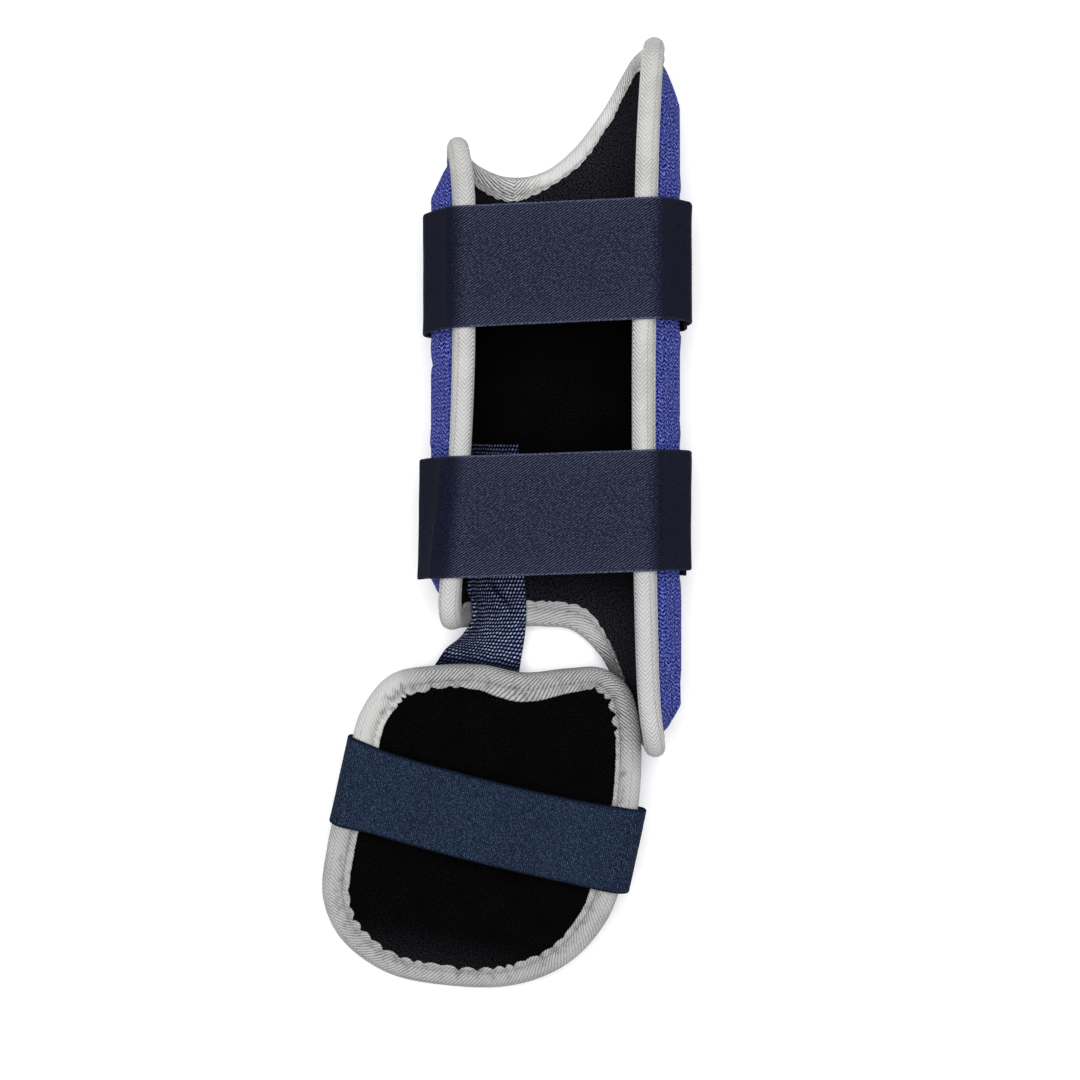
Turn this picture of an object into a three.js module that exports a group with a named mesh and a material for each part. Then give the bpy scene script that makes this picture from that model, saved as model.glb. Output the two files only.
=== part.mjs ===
// Batter's foot guard: a padded shin guard that is open at the back, with a small instep pad hung
// below it on a webbing. It lies on its front with the opening up. Millimetres, +Z up, +Y to the knee.
import * as THREE from "three";
import { mergeVertices } from "three/addons/utils/BufferGeometryUtils.js";

// Thicknesses of the cloth and the padding
const GAP = 0.3;
const TAPE_GAP = 0.6;
const LINING = 1.8;
const TAPE = 1.2;
const PAD_EDGE = 3.2;
const PAD_FULL = 11.5;
const BAND = 1.8;
const PATCH = 1.2;
const WEBBING = 1.9;

// Width of tape on each face of an edge, and where the padding starts and stops growing inward of it
const TAPE_LEG = 9.5;
const PAD_START = 12;
const PAD_MIDDLE = 18;
const PAD_STOP = 25;

// Cross-section of the shin guard: a flat front, a round corner on each side, and a wall that leans in
const SHIN_X = 21.3;
const SHIN_Y = -46;
const FRONT_HALF = 12;
const CORNER_RADIUS = 28.5;
const WALL_RISE = 38.5;
const WALL_LEAN = 5;
const TIP_RADIUS = 14;
const FRONT_Z = PAD_FULL + GAP / 2;

// Flat pattern of the shin guard, across the wrap from the left rear edge to the right one
const SHIN_PATTERN = [
  { across: -96, top: 203, bottom: -0.5 },
  { across: -72, top: 204, bottom: 0 },
  { across: -50, top: 201.5, bottom: 0 },
  { across: -36, top: 197, bottom: 0 },
  { across: -20, top: 192.6, bottom: 0 },
  { across: -5, top: 193.6, bottom: 0 },
  { across: 8, top: 202.4, bottom: -2.6 },
  { across: 20, top: 217.4, bottom: -15 },
  { across: 30, top: 232.4, bottom: -33 },
  { across: 38, top: 241.4, bottom: -44 },
  { across: 48, top: 245.3, bottom: -51 },
  { across: 64, top: 245.8, bottom: -53 },
  { across: 96, top: 244.5, bottom: -52.5 },
];

// How far each rear edge springs outward between and beyond the two bands
const SHIN_FLARE = [
  { y: -53, left: 9.5, right: 5 },
  { y: -30, left: 9.5, right: 2 },
  { y: 0, left: 9, right: 0.5 },
  { y: 45, left: 5, right: -0.5 },
  { y: 85, left: 2, right: -1 },
  { y: 120, left: 0.8, right: -1.2 },
  { y: 175, left: 0.7, right: 0 },
  { y: 205, left: 3.5, right: 1 },
  { y: 247, left: 4, right: 4 },
];

// The two wide bands: height of the middle, and turn from level across the opening
const BAND_WIDTH = 50;
const BAND_BEND = 6.5;
const BAND_BEND_OUT = 2;
const BAND_CLEAR = 5 * GAP;
const BAND_LEAVES_Z = 59;
const BAND_END_ANGLE = 0.62;
const SHIN_BANDS = [
  { name: "upper", y: 150.8, turn: 0.046 },
  { name: "lower", y: 47.8, turn: 0.034 },
];
const PATCH_DROP = 3;
const PATCH_TOP_Z = 54;
const PATCH_END_ANGLE = 0.5;

// Outline of the instep pad at the fold of its tape, in its own plane: p to the right, q to the shin
const FOOT_OUTLINE = [
  { p: 4, q: 67.4 },
  { p: 21.7, q: 73.4 },
  { p: 36, q: 77.2 },
  { p: 48.2, q: 72.8 },
  { p: 55.8, q: 60.6 },
  { p: 62.5, q: 32.3 },
  { p: 63.8, q: 3 },
  { p: 60.7, q: -25.2 },
  { p: 48.2, q: -48.7 },
  { p: 27.6, q: -64.3 },
  { p: 0.1, q: -71.5 },
  { p: -26.3, q: -71.4 },
  { p: -47.1, q: -60.5 },
  { p: -57.6, q: -43.9 },
  { p: -60.2, q: -20 },
  { p: -59.1, q: 12 },
  { p: -58, q: 38.4 },
  { p: -49.5, q: 55.5 },
  { p: -31.8, q: 62.9 },
  { p: -14, q: 66.8 },
];
const FOOT_SAMPLES = 44;

// The instep pad: its top edge in the middle, its bow across, and where and how it lies
const FOOT_TOP = 65.5;
const FOOT_BOW = 110;
const FOOT_PLACE = new THREE.Vector3(-9.9, -130, 16.4);
const FOOT_YAW = THREE.MathUtils.degToRad(-12);
const FOOT_PITCH = THREE.MathUtils.degToRad(5.4);
const FOOT_ROLL = THREE.MathUtils.degToRad(-5.2);

// The narrow band over the instep: its middle, its turn, its reach on each side and its ends under the pad
const FOOT_BAND_WIDTH = 35;
const FOOT_BAND_Q = 5;
const FOOT_BAND_TURN = -0.03;
const FOOT_BAND_LEFT = -58.4;
const FOOT_BAND_RIGHT = 63.2;
const FOOT_BAND_ROUND = 5.6;
const FOOT_BAND_TUCK = 2.4;
const FOOT_BAND_UNDER = 34;

// Webbing between the pads: its edges across the shin lining, with how far its left edge spreads past the
// wall there, and then its edges across the instep pad
const WEBBING_SHIN = [
  { y: 78, left: -53.2, right: -16.2, spread: 0 },
  { y: 58, left: -52.2, right: -15.2, spread: 0 },
  { y: 38, left: -51.2, right: -14.2, spread: 0 },
  { y: 18, left: -50, right: -13, spread: 0 },
  { y: 15, left: -50.3, right: -12.7, spread: 0 },
  { y: 10.5, left: -51.2, right: -12.5, spread: 0 },
  { y: 3, left: -52, right: -12.5, spread: 0 },
  { y: -3, left: -52, right: -12.5, spread: 2.5 },
];
const WEBBING_FOOT = [
  { q: 69.5, left: -28.5, right: 2 },
  { q: 65, left: -31, right: 2 },
  { q: 60, left: -32.5, right: 2 },
  { q: 53, left: -32.5, right: 2 },
  { q: 44, left: -32.5, right: 2 },
];
const WEBBING_CLEAR = 1.5 * GAP;

// Colours of the cloths
const FINISHES = {
  cover: { color: 0x3d429f, roughness: 0.85, metalness: 0 },
  lining: { color: 0x0a0a0c, roughness: 0.95, metalness: 0 },
  tape: { color: 0xd2d2d0, roughness: 0.85, metalness: 0 },
  band: { color: 0x26283e, roughness: 0.8, metalness: 0 },
  footBand: { color: 0x26385a, roughness: 0.8, metalness: 0 },
  webbing: { color: 0x141d3c, roughness: 0.7, metalness: 0 },
};

// Steps that the curved surfaces are cut into
const TIP_COLUMNS = [0, 0.6, 2.2, 5];
const CORNER_COLUMNS = 8;
const BEND_STEPS = 3;
const WALL_STEPS = 3;
const ROUND_STEPS = 7;
const EDGE_STEPS = 5;
const WEBBING_LENGTHS = 20;
const WEBBING_STRIPS = 6;

// A slanting quad is cut along the diagonal that is shorter by at least this share
const MUCH_SHORTER = 0.9;
const SAME_POINT = 1e-4;
const SLOPE_STEP = 0.05;

// Worked out from the sizes above
const WALL_RADIUS = (WALL_RISE ** 2 + WALL_LEAN ** 2) / (2 * WALL_LEAN);
const CORNER_LENGTH = (CORNER_RADIUS * Math.PI) / 2;
const WALL_LENGTH = WALL_RADIUS * Math.asin(WALL_RISE / WALL_RADIUS);
const SHIN_HALF = FRONT_HALF + CORNER_LENGTH + WALL_LENGTH;
const WIDEST_Z = FRONT_Z + CORNER_RADIUS;
const LINING_FACE = GAP / 2 + LINING;
const FOLD = TAPE_GAP + TAPE;
const TAPE_IN = LINING_FACE + TAPE_GAP;
const TAPE_OUT = GAP / 2 + PAD_EDGE + TAPE_GAP;

// Smooth curve through a table's rows: a cubic between rows, with each row's slope from its neighbours
function through(rows, key, column, at) {
  const last = rows.length - 1;
  let k = 0;
  while (k < last - 1 && rows[k + 1][key] < at) k += 1;
  const slope = (i) => {
    const before = rows[Math.max(i - 1, 0)];
    const after = rows[Math.min(i + 1, last)];
    return (after[column] - before[column]) / (after[key] - before[key]);
  };
  const span = rows[k + 1][key] - rows[k][key];
  const t = THREE.MathUtils.clamp((at - rows[k][key]) / span, 0, 1);
  const start = rows[k][column] * (1 + 2 * t) * (1 - t) ** 2 + rows[k + 1][column] * t * t * (3 - 2 * t);
  return start + span * (slope(k) * t * (1 - t) ** 2 - slope(k + 1) * t * t * (1 - t));
}

// Shares from none to all in even steps
function evenShares(steps) {
  return Array.from({ length: steps + 1 }, (_, k) => k / steps);
}

// Share of the full padding at a distance inward of an edge
function fill(inward) {
  return THREE.MathUtils.smoothstep(inward, PAD_START, PAD_STOP);
}

// Height of the instep pad's under side, from its seam of cover and lining
function padUnder(inward) {
  return -GAP / 2 - PAD_EDGE - (PAD_FULL - PAD_EDGE) * fill(inward);
}

// Closed body over a row of rings, each a loop of as many points, closed on itself or capped.
// A quad is cut along its second diagonal only where that is much the shorter one.
function skin(rings, closed = false) {
  const count = rings[0].length;
  const points = rings.flat();
  const index = [];
  const face = (...corners) => {
    const [a, b, c] = corners.map((corner) => points[corner]);
    const shortest = Math.min(a.distanceTo(b), b.distanceTo(c), c.distanceTo(a));
    if (shortest > SAME_POINT) index.push(...corners);
  };
  const length = (a, b) => points[a].distanceTo(points[b]);
  const quad = (a, b, c, d) => {
    const shorter = length(b, d) < MUCH_SHORTER * length(a, c);
    const halves = shorter ? [[a, b, d], [b, c, d]] : [[a, b, c], [a, c, d]];
    halves.forEach((half) => face(...half));
  };
  const spans = closed ? rings.length : rings.length - 1;
  for (let i = 0; i < spans; i += 1) {
    const here = i * count;
    const next = ((i + 1) % rings.length) * count;
    for (let j = 0; j < count; j += 1) {
      const k = (j + 1) % count;
      quad(here + j, here + k, next + k, next + j);
    }
  }
  const end = (rings.length - 1) * count;
  for (let j = 0; !closed && j < count / 2 - 1; j += 1) {
    quad(count - 1 - j, count - 2 - j, j + 1, j);
    quad(end + j, end + j + 1, end + count - 2 - j, end + count - 1 - j);
  }
  const geometry = new THREE.BufferGeometry();
  const numbers = points.flatMap((point) => point.toArray());
  geometry.setAttribute("position", new THREE.Float32BufferAttribute(numbers, 3));
  geometry.setIndex(index);
  return faceOutward(mergeVertices(geometry));
}

// Turn every face round if the body is inside out, which its signed volume tells
function faceOutward(geometry) {
  const position = geometry.getAttribute("position");
  const index = geometry.getIndex();
  const corner = [new THREE.Vector3(), new THREE.Vector3(), new THREE.Vector3()];
  let volume = 0;
  for (let i = 0; i < index.count; i += 3) {
    corner.forEach((point, k) => point.fromBufferAttribute(position, index.getX(i + k)));
    volume += corner[0].dot(corner[1].cross(corner[2]));
  }
  for (let i = 0; volume < 0 && i < index.count; i += 3) {
    const first = index.getX(i);
    index.setX(i, index.getX(i + 1));
    index.setX(i + 1, first);
  }
  geometry.computeVertexNormals();
  return geometry;
}

// Cross-section of the shin guard at a length across the wrap, before its edges spring outward
function section(across) {
  const side = Math.sign(across) || 1;
  const length = Math.abs(across);
  if (length <= FRONT_HALF) return { x: across, z: FRONT_Z };
  const corner = (length - FRONT_HALF) / CORNER_RADIUS;
  if (length <= FRONT_HALF + CORNER_LENGTH) {
    return {
      x: side * (FRONT_HALF + CORNER_RADIUS * Math.sin(corner)),
      z: FRONT_Z + CORNER_RADIUS * (1 - Math.cos(corner)),
    };
  }
  const wall = (length - FRONT_HALF - CORNER_LENGTH) / WALL_RADIUS;
  return {
    x: side * (FRONT_HALF + CORNER_RADIUS - WALL_RADIUS * (1 - Math.cos(wall))),
    z: WIDEST_Z + WALL_RADIUS * Math.sin(wall),
  };
}

// Section with the walls above their widest place sprung outward, more towards the rear edge
function sprung(across, y) {
  const { x, z } = section(across);
  const height = Math.max(z - WIDEST_Z, 0) / WALL_RISE;
  const flare = through(SHIN_FLARE, "y", across < 0 ? "left" : "right", y);
  return new THREE.Vector2(x + Math.sign(across) * flare * height ** 2, z);
}

// Point of the shin guard at a flat-pattern place, raised outward from the seam of cover and lining
function onShin(across, y, raise) {
  const here = sprung(across, y);
  const along = sprung(across + SLOPE_STEP, y).sub(sprung(across - SLOPE_STEP, y)).normalize();
  return new THREE.Vector3(here.x + along.y * raise, y, here.y - along.x * raise);
}

// Top and bottom of the flat pattern, with the four tips rounded off
function shinEdge(column, across) {
  const inward = Math.min(TIP_RADIUS, SHIN_HALF - Math.abs(across));
  const drop = TIP_RADIUS - Math.sqrt(TIP_RADIUS ** 2 - (TIP_RADIUS - inward) ** 2);
  const inset = drop + FOLD * slant(column, across);
  const edge = through(SHIN_PATTERN, "across", column, across);
  return column === "top" ? edge - inset : edge + inset;
}

// Lengthening of a distance measured along Y to an edge that runs slanting
function slant(column, across) {
  const edge = (step) => through(SHIN_PATTERN, "across", column, across + step);
  return Math.hypot(1, (edge(1) - edge(-1)) / 2);
}

// Places across the wrap: close together at the tips and the round corners
function shinColumns() {
  const half = [
    ...[...TIP_COLUMNS, PAD_START, PAD_MIDDLE, PAD_STOP].map((inward) => SHIN_HALF - inward),
    ...evenShares(CORNER_COLUMNS).reverse().map((share) => FRONT_HALF + CORNER_LENGTH * share),
    FRONT_HALF / 2,
  ];
  return [...half.map((across) => -across), 0, ...half.reverse()];
}

// Heights at one place across: close together at the two edges, even between
function shinHeights(across) {
  const inward = [0, PAD_START, PAD_MIDDLE, PAD_STOP];
  const bottom = shinEdge("bottom", across);
  const top = shinEdge("top", across);
  const low = inward.map((step) => bottom + step * slant("bottom", across));
  const high = inward.map((step) => top - step * slant("top", across)).reverse();
  const between = [0.25, 0.5, 0.75].map((share) => THREE.MathUtils.lerp(low.at(-1), high[0], share));
  return [...low, ...between, ...high];
}

// Padding of the shin guard at one place, thin along every edge
function shinPad(across, y) {
  const side = fill(SHIN_HALF - Math.abs(across));
  const top = fill((shinEdge("top", across) - y) / slant("top", across));
  const bottom = fill((y - shinEdge("bottom", across)) / slant("bottom", across));
  return PAD_EDGE + (PAD_FULL - PAD_EDGE) * side * top * bottom;
}

// A wall of the shin guard between its free face and its seam, as loops that run across and back
function shinWall(free, seam) {
  const columns = shinColumns();
  const heights = columns.map(shinHeights);
  return skin(heights[0].map((_, row) => {
    const places = columns.map((across, k) => [across, heights[k][row]]);
    const out = places.map(([across, y]) => onShin(across, y, free(across, y)));
    const back = places.map(([across, y]) => onShin(across, y, seam));
    return [...out, ...back.reverse()];
  }));
}

// Flat-pattern outline of the shin guard, once round
function shinOutline() {
  const columns = shinColumns();
  const heights = columns.map(shinHeights);
  const last = columns.length - 1;
  const inner = heights[0].length - 1;
  const row = (k) => columns.map((across, c) => new THREE.Vector2(across, heights[c][k]));
  const column = (c) => heights[c].slice(1, inner).map((y) => new THREE.Vector2(columns[c], y));
  return [...row(0), ...column(last), ...row(inner).reverse(), ...column(0).reverse()];
}

// Folded tape in section: e outward past the edge, n outward through the padding
function tapeSection() {
  const leg = [-TAPE_LEG, -TAPE_LEG / 2];
  const row = (places, n) => places.map((e) => ({ e, n }));
  return [
    ...row([...leg, TAPE_GAP], -TAPE_IN),
    ...row([TAPE_GAP, ...[...leg].reverse()], TAPE_OUT),
    ...row([...leg, TAPE_GAP / 2], TAPE_OUT + TAPE),
    ...row([FOLD], TAPE_OUT / 2),
    ...row([FOLD], -TAPE_IN / 2),
    ...row([TAPE_GAP / 2, ...[...leg].reverse()], -TAPE_IN - TAPE),
  ];
}

// Tape folded round a closed flat-pattern outline that runs anticlockwise, on a given surface
function binding(outline, onSurface) {
  const along = alongOutline(outline);
  return skin(outline.map(({ x, y }, k) => (
    tapeSection().map(({ e, n }) => onSurface(x + along[k].y * e, y - along[k].x * e, n))
  )), true);
}

// A band along a path in a plane: each path point has its place and the way out of the wrapped side
function bandAlong(path, thickness, placeAt) {
  return skin(path.map(({ place, out }) => [
    placeAt(place, -1),
    placeAt(place, 1),
    placeAt(place.clone().addScaledVector(out, thickness), 1),
    placeAt(place.clone().addScaledVector(out, thickness), -1),
  ]));
}

// Directions outward of a path, square to the line between each point's neighbours
function withNormals(places) {
  const last = places.length - 1;
  return places.map((place, k) => {
    const along = places[Math.min(k + 1, last)].clone().sub(places[Math.max(k - 1, 0)]).normalize();
    return { place, out: new THREE.Vector2(along.y, -along.x) };
  });
}

// Outer wall of the shin guard from a height down to an angle round its front corner, with a clearance
function wallPath(topZ, endAngle, clearance, flare) {
  const raise = PAD_FULL + GAP / 2 + clearance;
  const wallStart = Math.asin((topZ - WIDEST_Z) / (WALL_RADIUS + raise));
  const wall = evenShares(WALL_STEPS).slice(1).reverse().map((share) => {
    const rise = (WALL_RADIUS + raise) * Math.sin(wallStart * share);
    const sprungOut = flare * (rise / WALL_RISE) ** 2;
    const lean = WALL_RADIUS - (WALL_RADIUS + raise) * Math.cos(wallStart * share);
    return new THREE.Vector2(FRONT_HALF + CORNER_RADIUS - lean + sprungOut, WIDEST_Z + rise);
  });
  const corner = evenShares(ROUND_STEPS).map((share) => {
    const angle = THREE.MathUtils.lerp(Math.PI / 2, endAngle, share);
    return new THREE.Vector2(
      FRONT_HALF + (CORNER_RADIUS + raise) * Math.sin(angle),
      WIDEST_Z - (CORNER_RADIUS + raise) * Math.cos(angle),
    );
  });
  return [...wall, ...corner];
}

// How far one rear edge springs out under a band, at a height
function flareUnder(y, side) {
  return Math.max(0, through(SHIN_FLARE, "y", side, y));
}

// Half of a wide band: flat over the rear edge, a soft bend, a taut stretch and then the outer wall
function halfBand(y, side, clearance) {
  const flare = flareUnder(y, side);
  const topZ = WIDEST_Z + WALL_RISE + TAPE + BAND_CLEAR;
  const bendX = section(SHIN_HALF).x + flare + BAND_BEND_OUT;
  const wall = wallPath(BAND_LEAVES_Z, BAND_END_ANGLE, clearance, flare);
  const fall = Math.atan2(topZ - BAND_BEND - wall[0].y, wall[0].x - bendX);
  const bend = evenShares(BEND_STEPS).map((share) => {
    const angle = Math.PI / 2 - fall * share;
    const rise = BAND_BEND * (1 - Math.sin(angle));
    return new THREE.Vector2(bendX + BAND_BEND * Math.cos(angle), topZ - rise);
  });
  return [...bend, ...wall];
}

// One wide band round the back of the shin guard, from its left end to its right one
function shinBand({ y, turn }) {
  const selvedge = (edgeY) => {
    const left = halfBand(edgeY, "left", GAP).map((place) => new THREE.Vector2(-place.x, place.y));
    const right = halfBand(edgeY, "right", PATCH + 2 * GAP);
    const path = withNormals([...left.reverse(), ...right].reverse());
    const faces = [0, BAND].map((raise) => path.map(({ place, out }) => {
      const { x, y: z } = place.clone().addScaledVector(out, raise);
      return new THREE.Vector3(x, edgeY + turn * x, z);
    }));
    return { inner: faces[0], outer: faces[1] };
  };
  const low = selvedge(y - BAND_WIDTH / 2);
  const high = selvedge(y + BAND_WIDTH / 2);
  return skin(low.inner.map((_, k) => [low.inner[k], high.inner[k], high.outer[k], low.outer[k]]));
}

// Fastening patch on the right outer wall, under a band's end and a little lower than it
function bandPatch({ y, turn }) {
  const path = withNormals(wallPath(PATCH_TOP_Z, PATCH_END_ANGLE, GAP, flareUnder(y, "right")).reverse());
  return bandAlong(path, PATCH, (place, side) => (
    new THREE.Vector3(place.x, y + turn * place.x - PATCH_DROP + (side * BAND_WIDTH) / 2, place.y)
  ));
}

// Point of the instep pad over its own plane, raised towards the foot, on a surface bowed across
function onFoot(p, q, raise) {
  const lift = FOOT_BOW - Math.sqrt(FOOT_BOW ** 2 - p ** 2);
  const lean = p / FOOT_BOW;
  return new THREE.Vector3(p - lean * raise, q, lift + Math.sqrt(1 - lean ** 2) * raise);
}

// Directions along a closed outline, from each point's neighbours
function alongOutline(outline) {
  const count = outline.length;
  return outline.map((_, k) => {
    const before = outline[(k + count - 1) % count];
    const after = outline[(k + 1) % count];
    return after.clone().sub(before).normalize();
  });
}

// Edge of the instep pad's cloth, evenly sampled anticlockwise and inside the tape's fold
function footOutline() {
  const corners = FOOT_OUTLINE.map(({ p, q }) => new THREE.Vector3(p, q, 0)).reverse();
  const curve = new THREE.CatmullRomCurve3(corners, true);
  const samples = curve.getSpacedPoints(FOOT_SAMPLES).slice(0, FOOT_SAMPLES);
  const folds = samples.map((point) => new THREE.Vector2(point.x, point.y));
  const along = alongOutline(folds);
  return folds.map((fold, k) => new THREE.Vector2(fold.x - along[k].y * FOLD, fold.y + along[k].x * FOLD));
}

// A wall of the instep pad between two faces: rings from its middle out to the edge and back
function footWall(first, second) {
  const outline = footOutline();
  const along = alongOutline(outline);
  const rings = [
    { inward: 0, share: 1 },
    { inward: PAD_START, share: 1 },
    { inward: PAD_MIDDLE, share: 1 },
    { inward: PAD_STOP, share: 1 },
    { inward: PAD_STOP, share: 0.5 },
    { inward: PAD_STOP, share: 0 },
  ];
  const ring = ({ inward, share }, face) => outline.map((place, k) => {
    const square = (place.x * along[k].y - place.y * along[k].x) / place.length();
    const kept = share * (1 - inward / square / place.length());
    return onFoot(place.x * kept, place.y * kept, face(inward));
  });
  const out = [...rings].reverse().map((row) => ring(row, first));
  const back = rings.map((row) => ring(row, second));
  return skin([...out, ...back]);
}

// Half of the narrow band: round the edge of the instep pad, then on under its padding
function halfFootBand(reach) {
  const centre = onFoot(reach - FOOT_BAND_TUCK, 0, (TAPE_IN - TAPE_OUT) / 2);
  const turn = Math.PI / 2 + Math.asin(reach / FOOT_BOW);
  const round = evenShares(EDGE_STEPS).map((share) => {
    const angle = Math.PI / 2 - turn * share;
    return new THREE.Vector2(
      centre.x + FOOT_BAND_ROUND * Math.cos(angle),
      centre.z + FOOT_BAND_ROUND * Math.sin(angle),
    );
  });
  const under = [TAPE_LEG + 1, PAD_MIDDLE, PAD_STOP, FOOT_BAND_UNDER].map((inward) => {
    const depth = Math.min(padUnder(inward), -TAPE_OUT - TAPE) - 2 * GAP;
    const { x, z } = onFoot(reach - inward, 0, depth);
    return new THREE.Vector2(x, z);
  });
  return [...round, ...under];
}

// Narrow band across the instep pad: straight over the foot, round both edges and on under the pad
function footBand() {
  const left = halfFootBand(-FOOT_BAND_LEFT).map((place) => new THREE.Vector2(-place.x, place.y));
  const path = withNormals([...left.reverse(), ...halfFootBand(FOOT_BAND_RIGHT)].reverse());
  return bandAlong(path, BAND, (place, side) => {
    const q = FOOT_BAND_Q + FOOT_BAND_TURN * place.x + (side * FOOT_BAND_WIDTH) / 2;
    return new THREE.Vector3(place.x, q, place.y);
  });
}

// Webbing: sewn on the shin lining, over the tape at its lower edge, then under the instep pad
function webbing(foot, shin) {
  const onLining = ({ y, left, right, spread }, share, raise) => {
    const across = THREE.MathUtils.lerp(left, right, share);
    const overTape = y < PAD_START ? FOLD + GAP : 0;
    const point = onShin(across, y, -LINING_FACE - overTape - WEBBING_CLEAR - raise);
    point.x -= spread * (1 - share);
    return point;
  };
  const underPad = ({ q, left, right }, share, raise) => {
    const p = THREE.MathUtils.lerp(left, right, share);
    const under = Math.min(padUnder(FOOT_TOP - q), -TAPE_OUT - TAPE);
    return shin.worldToLocal(foot.localToWorld(onFoot(p, q, under - WEBBING_CLEAR - WEBBING + raise)));
  };
  const rail = (share, raise) => new THREE.CatmullRomCurve3([
    ...WEBBING_SHIN.map((row) => onLining(row, share, raise)),
    ...WEBBING_FOOT.map((row) => underPad(row, share, raise)),
  ]).getPoints(WEBBING_LENGTHS);
  const shares = evenShares(WEBBING_STRIPS);
  const rails = [
    ...shares.map((share) => rail(share, WEBBING)),
    ...shares.reverse().map((share) => rail(share, 0)),
  ];
  return skin(rails[0].map((_, k) => rails.map((points) => points[k])));
}

// One named mesh with its finish
function piece(name, geometry, finish) {
  const mesh = new THREE.Mesh(geometry, new THREE.MeshStandardMaterial(FINISHES[finish]));
  mesh.name = name;
  return mesh;
}

const shin = new THREE.Group();
shin.position.set(SHIN_X, SHIN_Y, 0);
const foot = new THREE.Group();
foot.position.copy(FOOT_PLACE);
foot.rotation.set(FOOT_PITCH, FOOT_ROLL, FOOT_YAW, "ZXY");
const footGuard = new THREE.Group();
footGuard.add(shin, foot);
footGuard.updateMatrixWorld(true);

shin.add(
  piece("shin_cover", shinWall((across, y) => GAP / 2 + shinPad(across, y), GAP / 2), "cover"),
  piece("shin_lining", shinWall(() => -LINING_FACE, -GAP / 2), "lining"),
  piece("shin_binding", binding(shinOutline(), onShin), "tape"),
  piece("link_webbing", webbing(foot, shin), "webbing"),
);
for (const band of SHIN_BANDS) {
  shin.add(piece(`${band.name}_band`, shinBand(band), "band"));
  shin.add(piece(`${band.name}_band_patch`, bandPatch(band), "band"));
}
foot.add(
  piece("foot_cover", footWall(() => -GAP / 2, padUnder), "cover"),
  piece("foot_lining", footWall(() => GAP / 2, () => LINING_FACE), "lining"),
  piece("foot_binding", binding(footOutline(), (p, q, n) => onFoot(p, q, -n)), "tape"),
  piece("foot_band", footBand(), "footBand"),
);

export default footGuard;
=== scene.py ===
"""Looks of a batter's foot guard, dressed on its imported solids.

The shin guard is a padded wall that wraps the leg and is open at the back. An instep pad hangs below it on a
webbing. It lies on its front, seen from straight above. Sizes below are millimetres, meshes are metres.
"""
import logging
import math
from dataclasses import dataclass
from enum import Enum
from typing import NamedTuple

import bpy
import numpy as np
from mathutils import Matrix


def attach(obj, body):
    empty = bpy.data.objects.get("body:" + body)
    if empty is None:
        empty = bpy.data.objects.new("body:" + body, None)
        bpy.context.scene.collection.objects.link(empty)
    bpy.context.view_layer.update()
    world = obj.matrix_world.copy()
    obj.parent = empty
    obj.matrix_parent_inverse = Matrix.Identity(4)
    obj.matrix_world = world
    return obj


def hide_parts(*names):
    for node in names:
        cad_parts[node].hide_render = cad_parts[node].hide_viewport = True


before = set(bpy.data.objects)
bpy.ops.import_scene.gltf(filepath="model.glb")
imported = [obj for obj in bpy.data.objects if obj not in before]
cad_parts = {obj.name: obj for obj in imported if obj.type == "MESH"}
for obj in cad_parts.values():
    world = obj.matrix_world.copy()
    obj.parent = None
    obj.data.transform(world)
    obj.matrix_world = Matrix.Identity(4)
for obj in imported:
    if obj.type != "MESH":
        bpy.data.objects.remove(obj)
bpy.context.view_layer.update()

Array = np.ndarray
Colour = tuple[float, float, float]
Place = tuple[float, float, float]
Socket = bpy.types.NodeSocket
Piece = bpy.types.Object
Material = bpy.types.Material

MM = 0.001
BODY = "root"
CLOTH_MAP = "cloth"
# Point attribute of the tapes and the webbing: how far a tape's ribs are pulled open, with painted shade and
# painted highlight carried in the same number.
PULL_AND_PAINTED_LIGHT = "pull"
SLOPE_STEP = 0.05
TINY = 1e-9
STITCH_RINGS = 6
STITCH_SIDES = 6
THREAD_END = 0.45
WEAKEST_NOTCH = 0.35
LOBE_POWER = 0.7
log = logging.getLogger("foot_guard")


class Edge(Enum):
    """Long edges of the shin guard's flat pattern."""

    TOP = "top"
    BOTTOM = "bottom"


class Side(Enum):
    """Sides of the shin guard, each with its sign along X."""

    LEFT = -1
    RIGHT = 1


class Held(Enum):
    """Ways in which a sheet of cloth is held on the guard."""

    STRETCHED = "stretched"
    FOLDED = "folded"
    LAID = "laid"


@dataclass(frozen=True)
class Plies:
    """Thicknesses of the cloths, and the clearances between them."""

    gap: float = 0.3
    tape_gap: float = 0.6
    lining: float = 1.8
    tape: float = 1.2
    tape_leg: float = 9.5
    pad_edge: float = 3.2
    pad_full: float = 11.5
    pad_start: float = 12.0
    pad_stop: float = 25.0
    soft_start: float = 6.9
    soft_power: float = 1.2
    band: float = 1.8
    patch: float = 1.2
    webbing: float = 1.9

    @property
    def lining_face(self) -> float:
        """Depth of the lining's face from the seam of cover and lining."""
        return self.gap / 2 + self.lining

    @property
    def fold(self) -> float:
        """Reach of the folded tape past the cloth's edge."""
        return self.tape_gap + self.tape

    @property
    def tape_in(self) -> float:
        """Depth of the tape's inner leg from the seam, on the lining's side."""
        return self.lining_face + self.tape_gap

    @property
    def tape_out(self) -> float:
        """Height of the tape's outer leg from the seam, on the cover's side."""
        return self.gap / 2 + self.pad_edge + self.tape_gap

    def fill(self, inward: Array) -> Array:
        """Share of the full padding at a distance inward of an edge."""
        return smoothstep(inward, self.pad_start, self.pad_stop)

    def swell(self, inward: Array, steep: Array | float = 1.0) -> Array:
        """Share of the full padding in the soft cover, which rises at once from under the tape."""
        t = np.clip(steep * (inward - self.soft_start) / (self.pad_stop - self.soft_start), 0, 1)
        return 1 - (1 - t) ** self.soft_power

    def under(self, inward: Array) -> Array:
        """Height of the instep pad's under side from its seam."""
        return -self.gap / 2 - self.pad_edge - (self.pad_full - self.pad_edge) * self.fill(inward)


PLIES = Plies()


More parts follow.
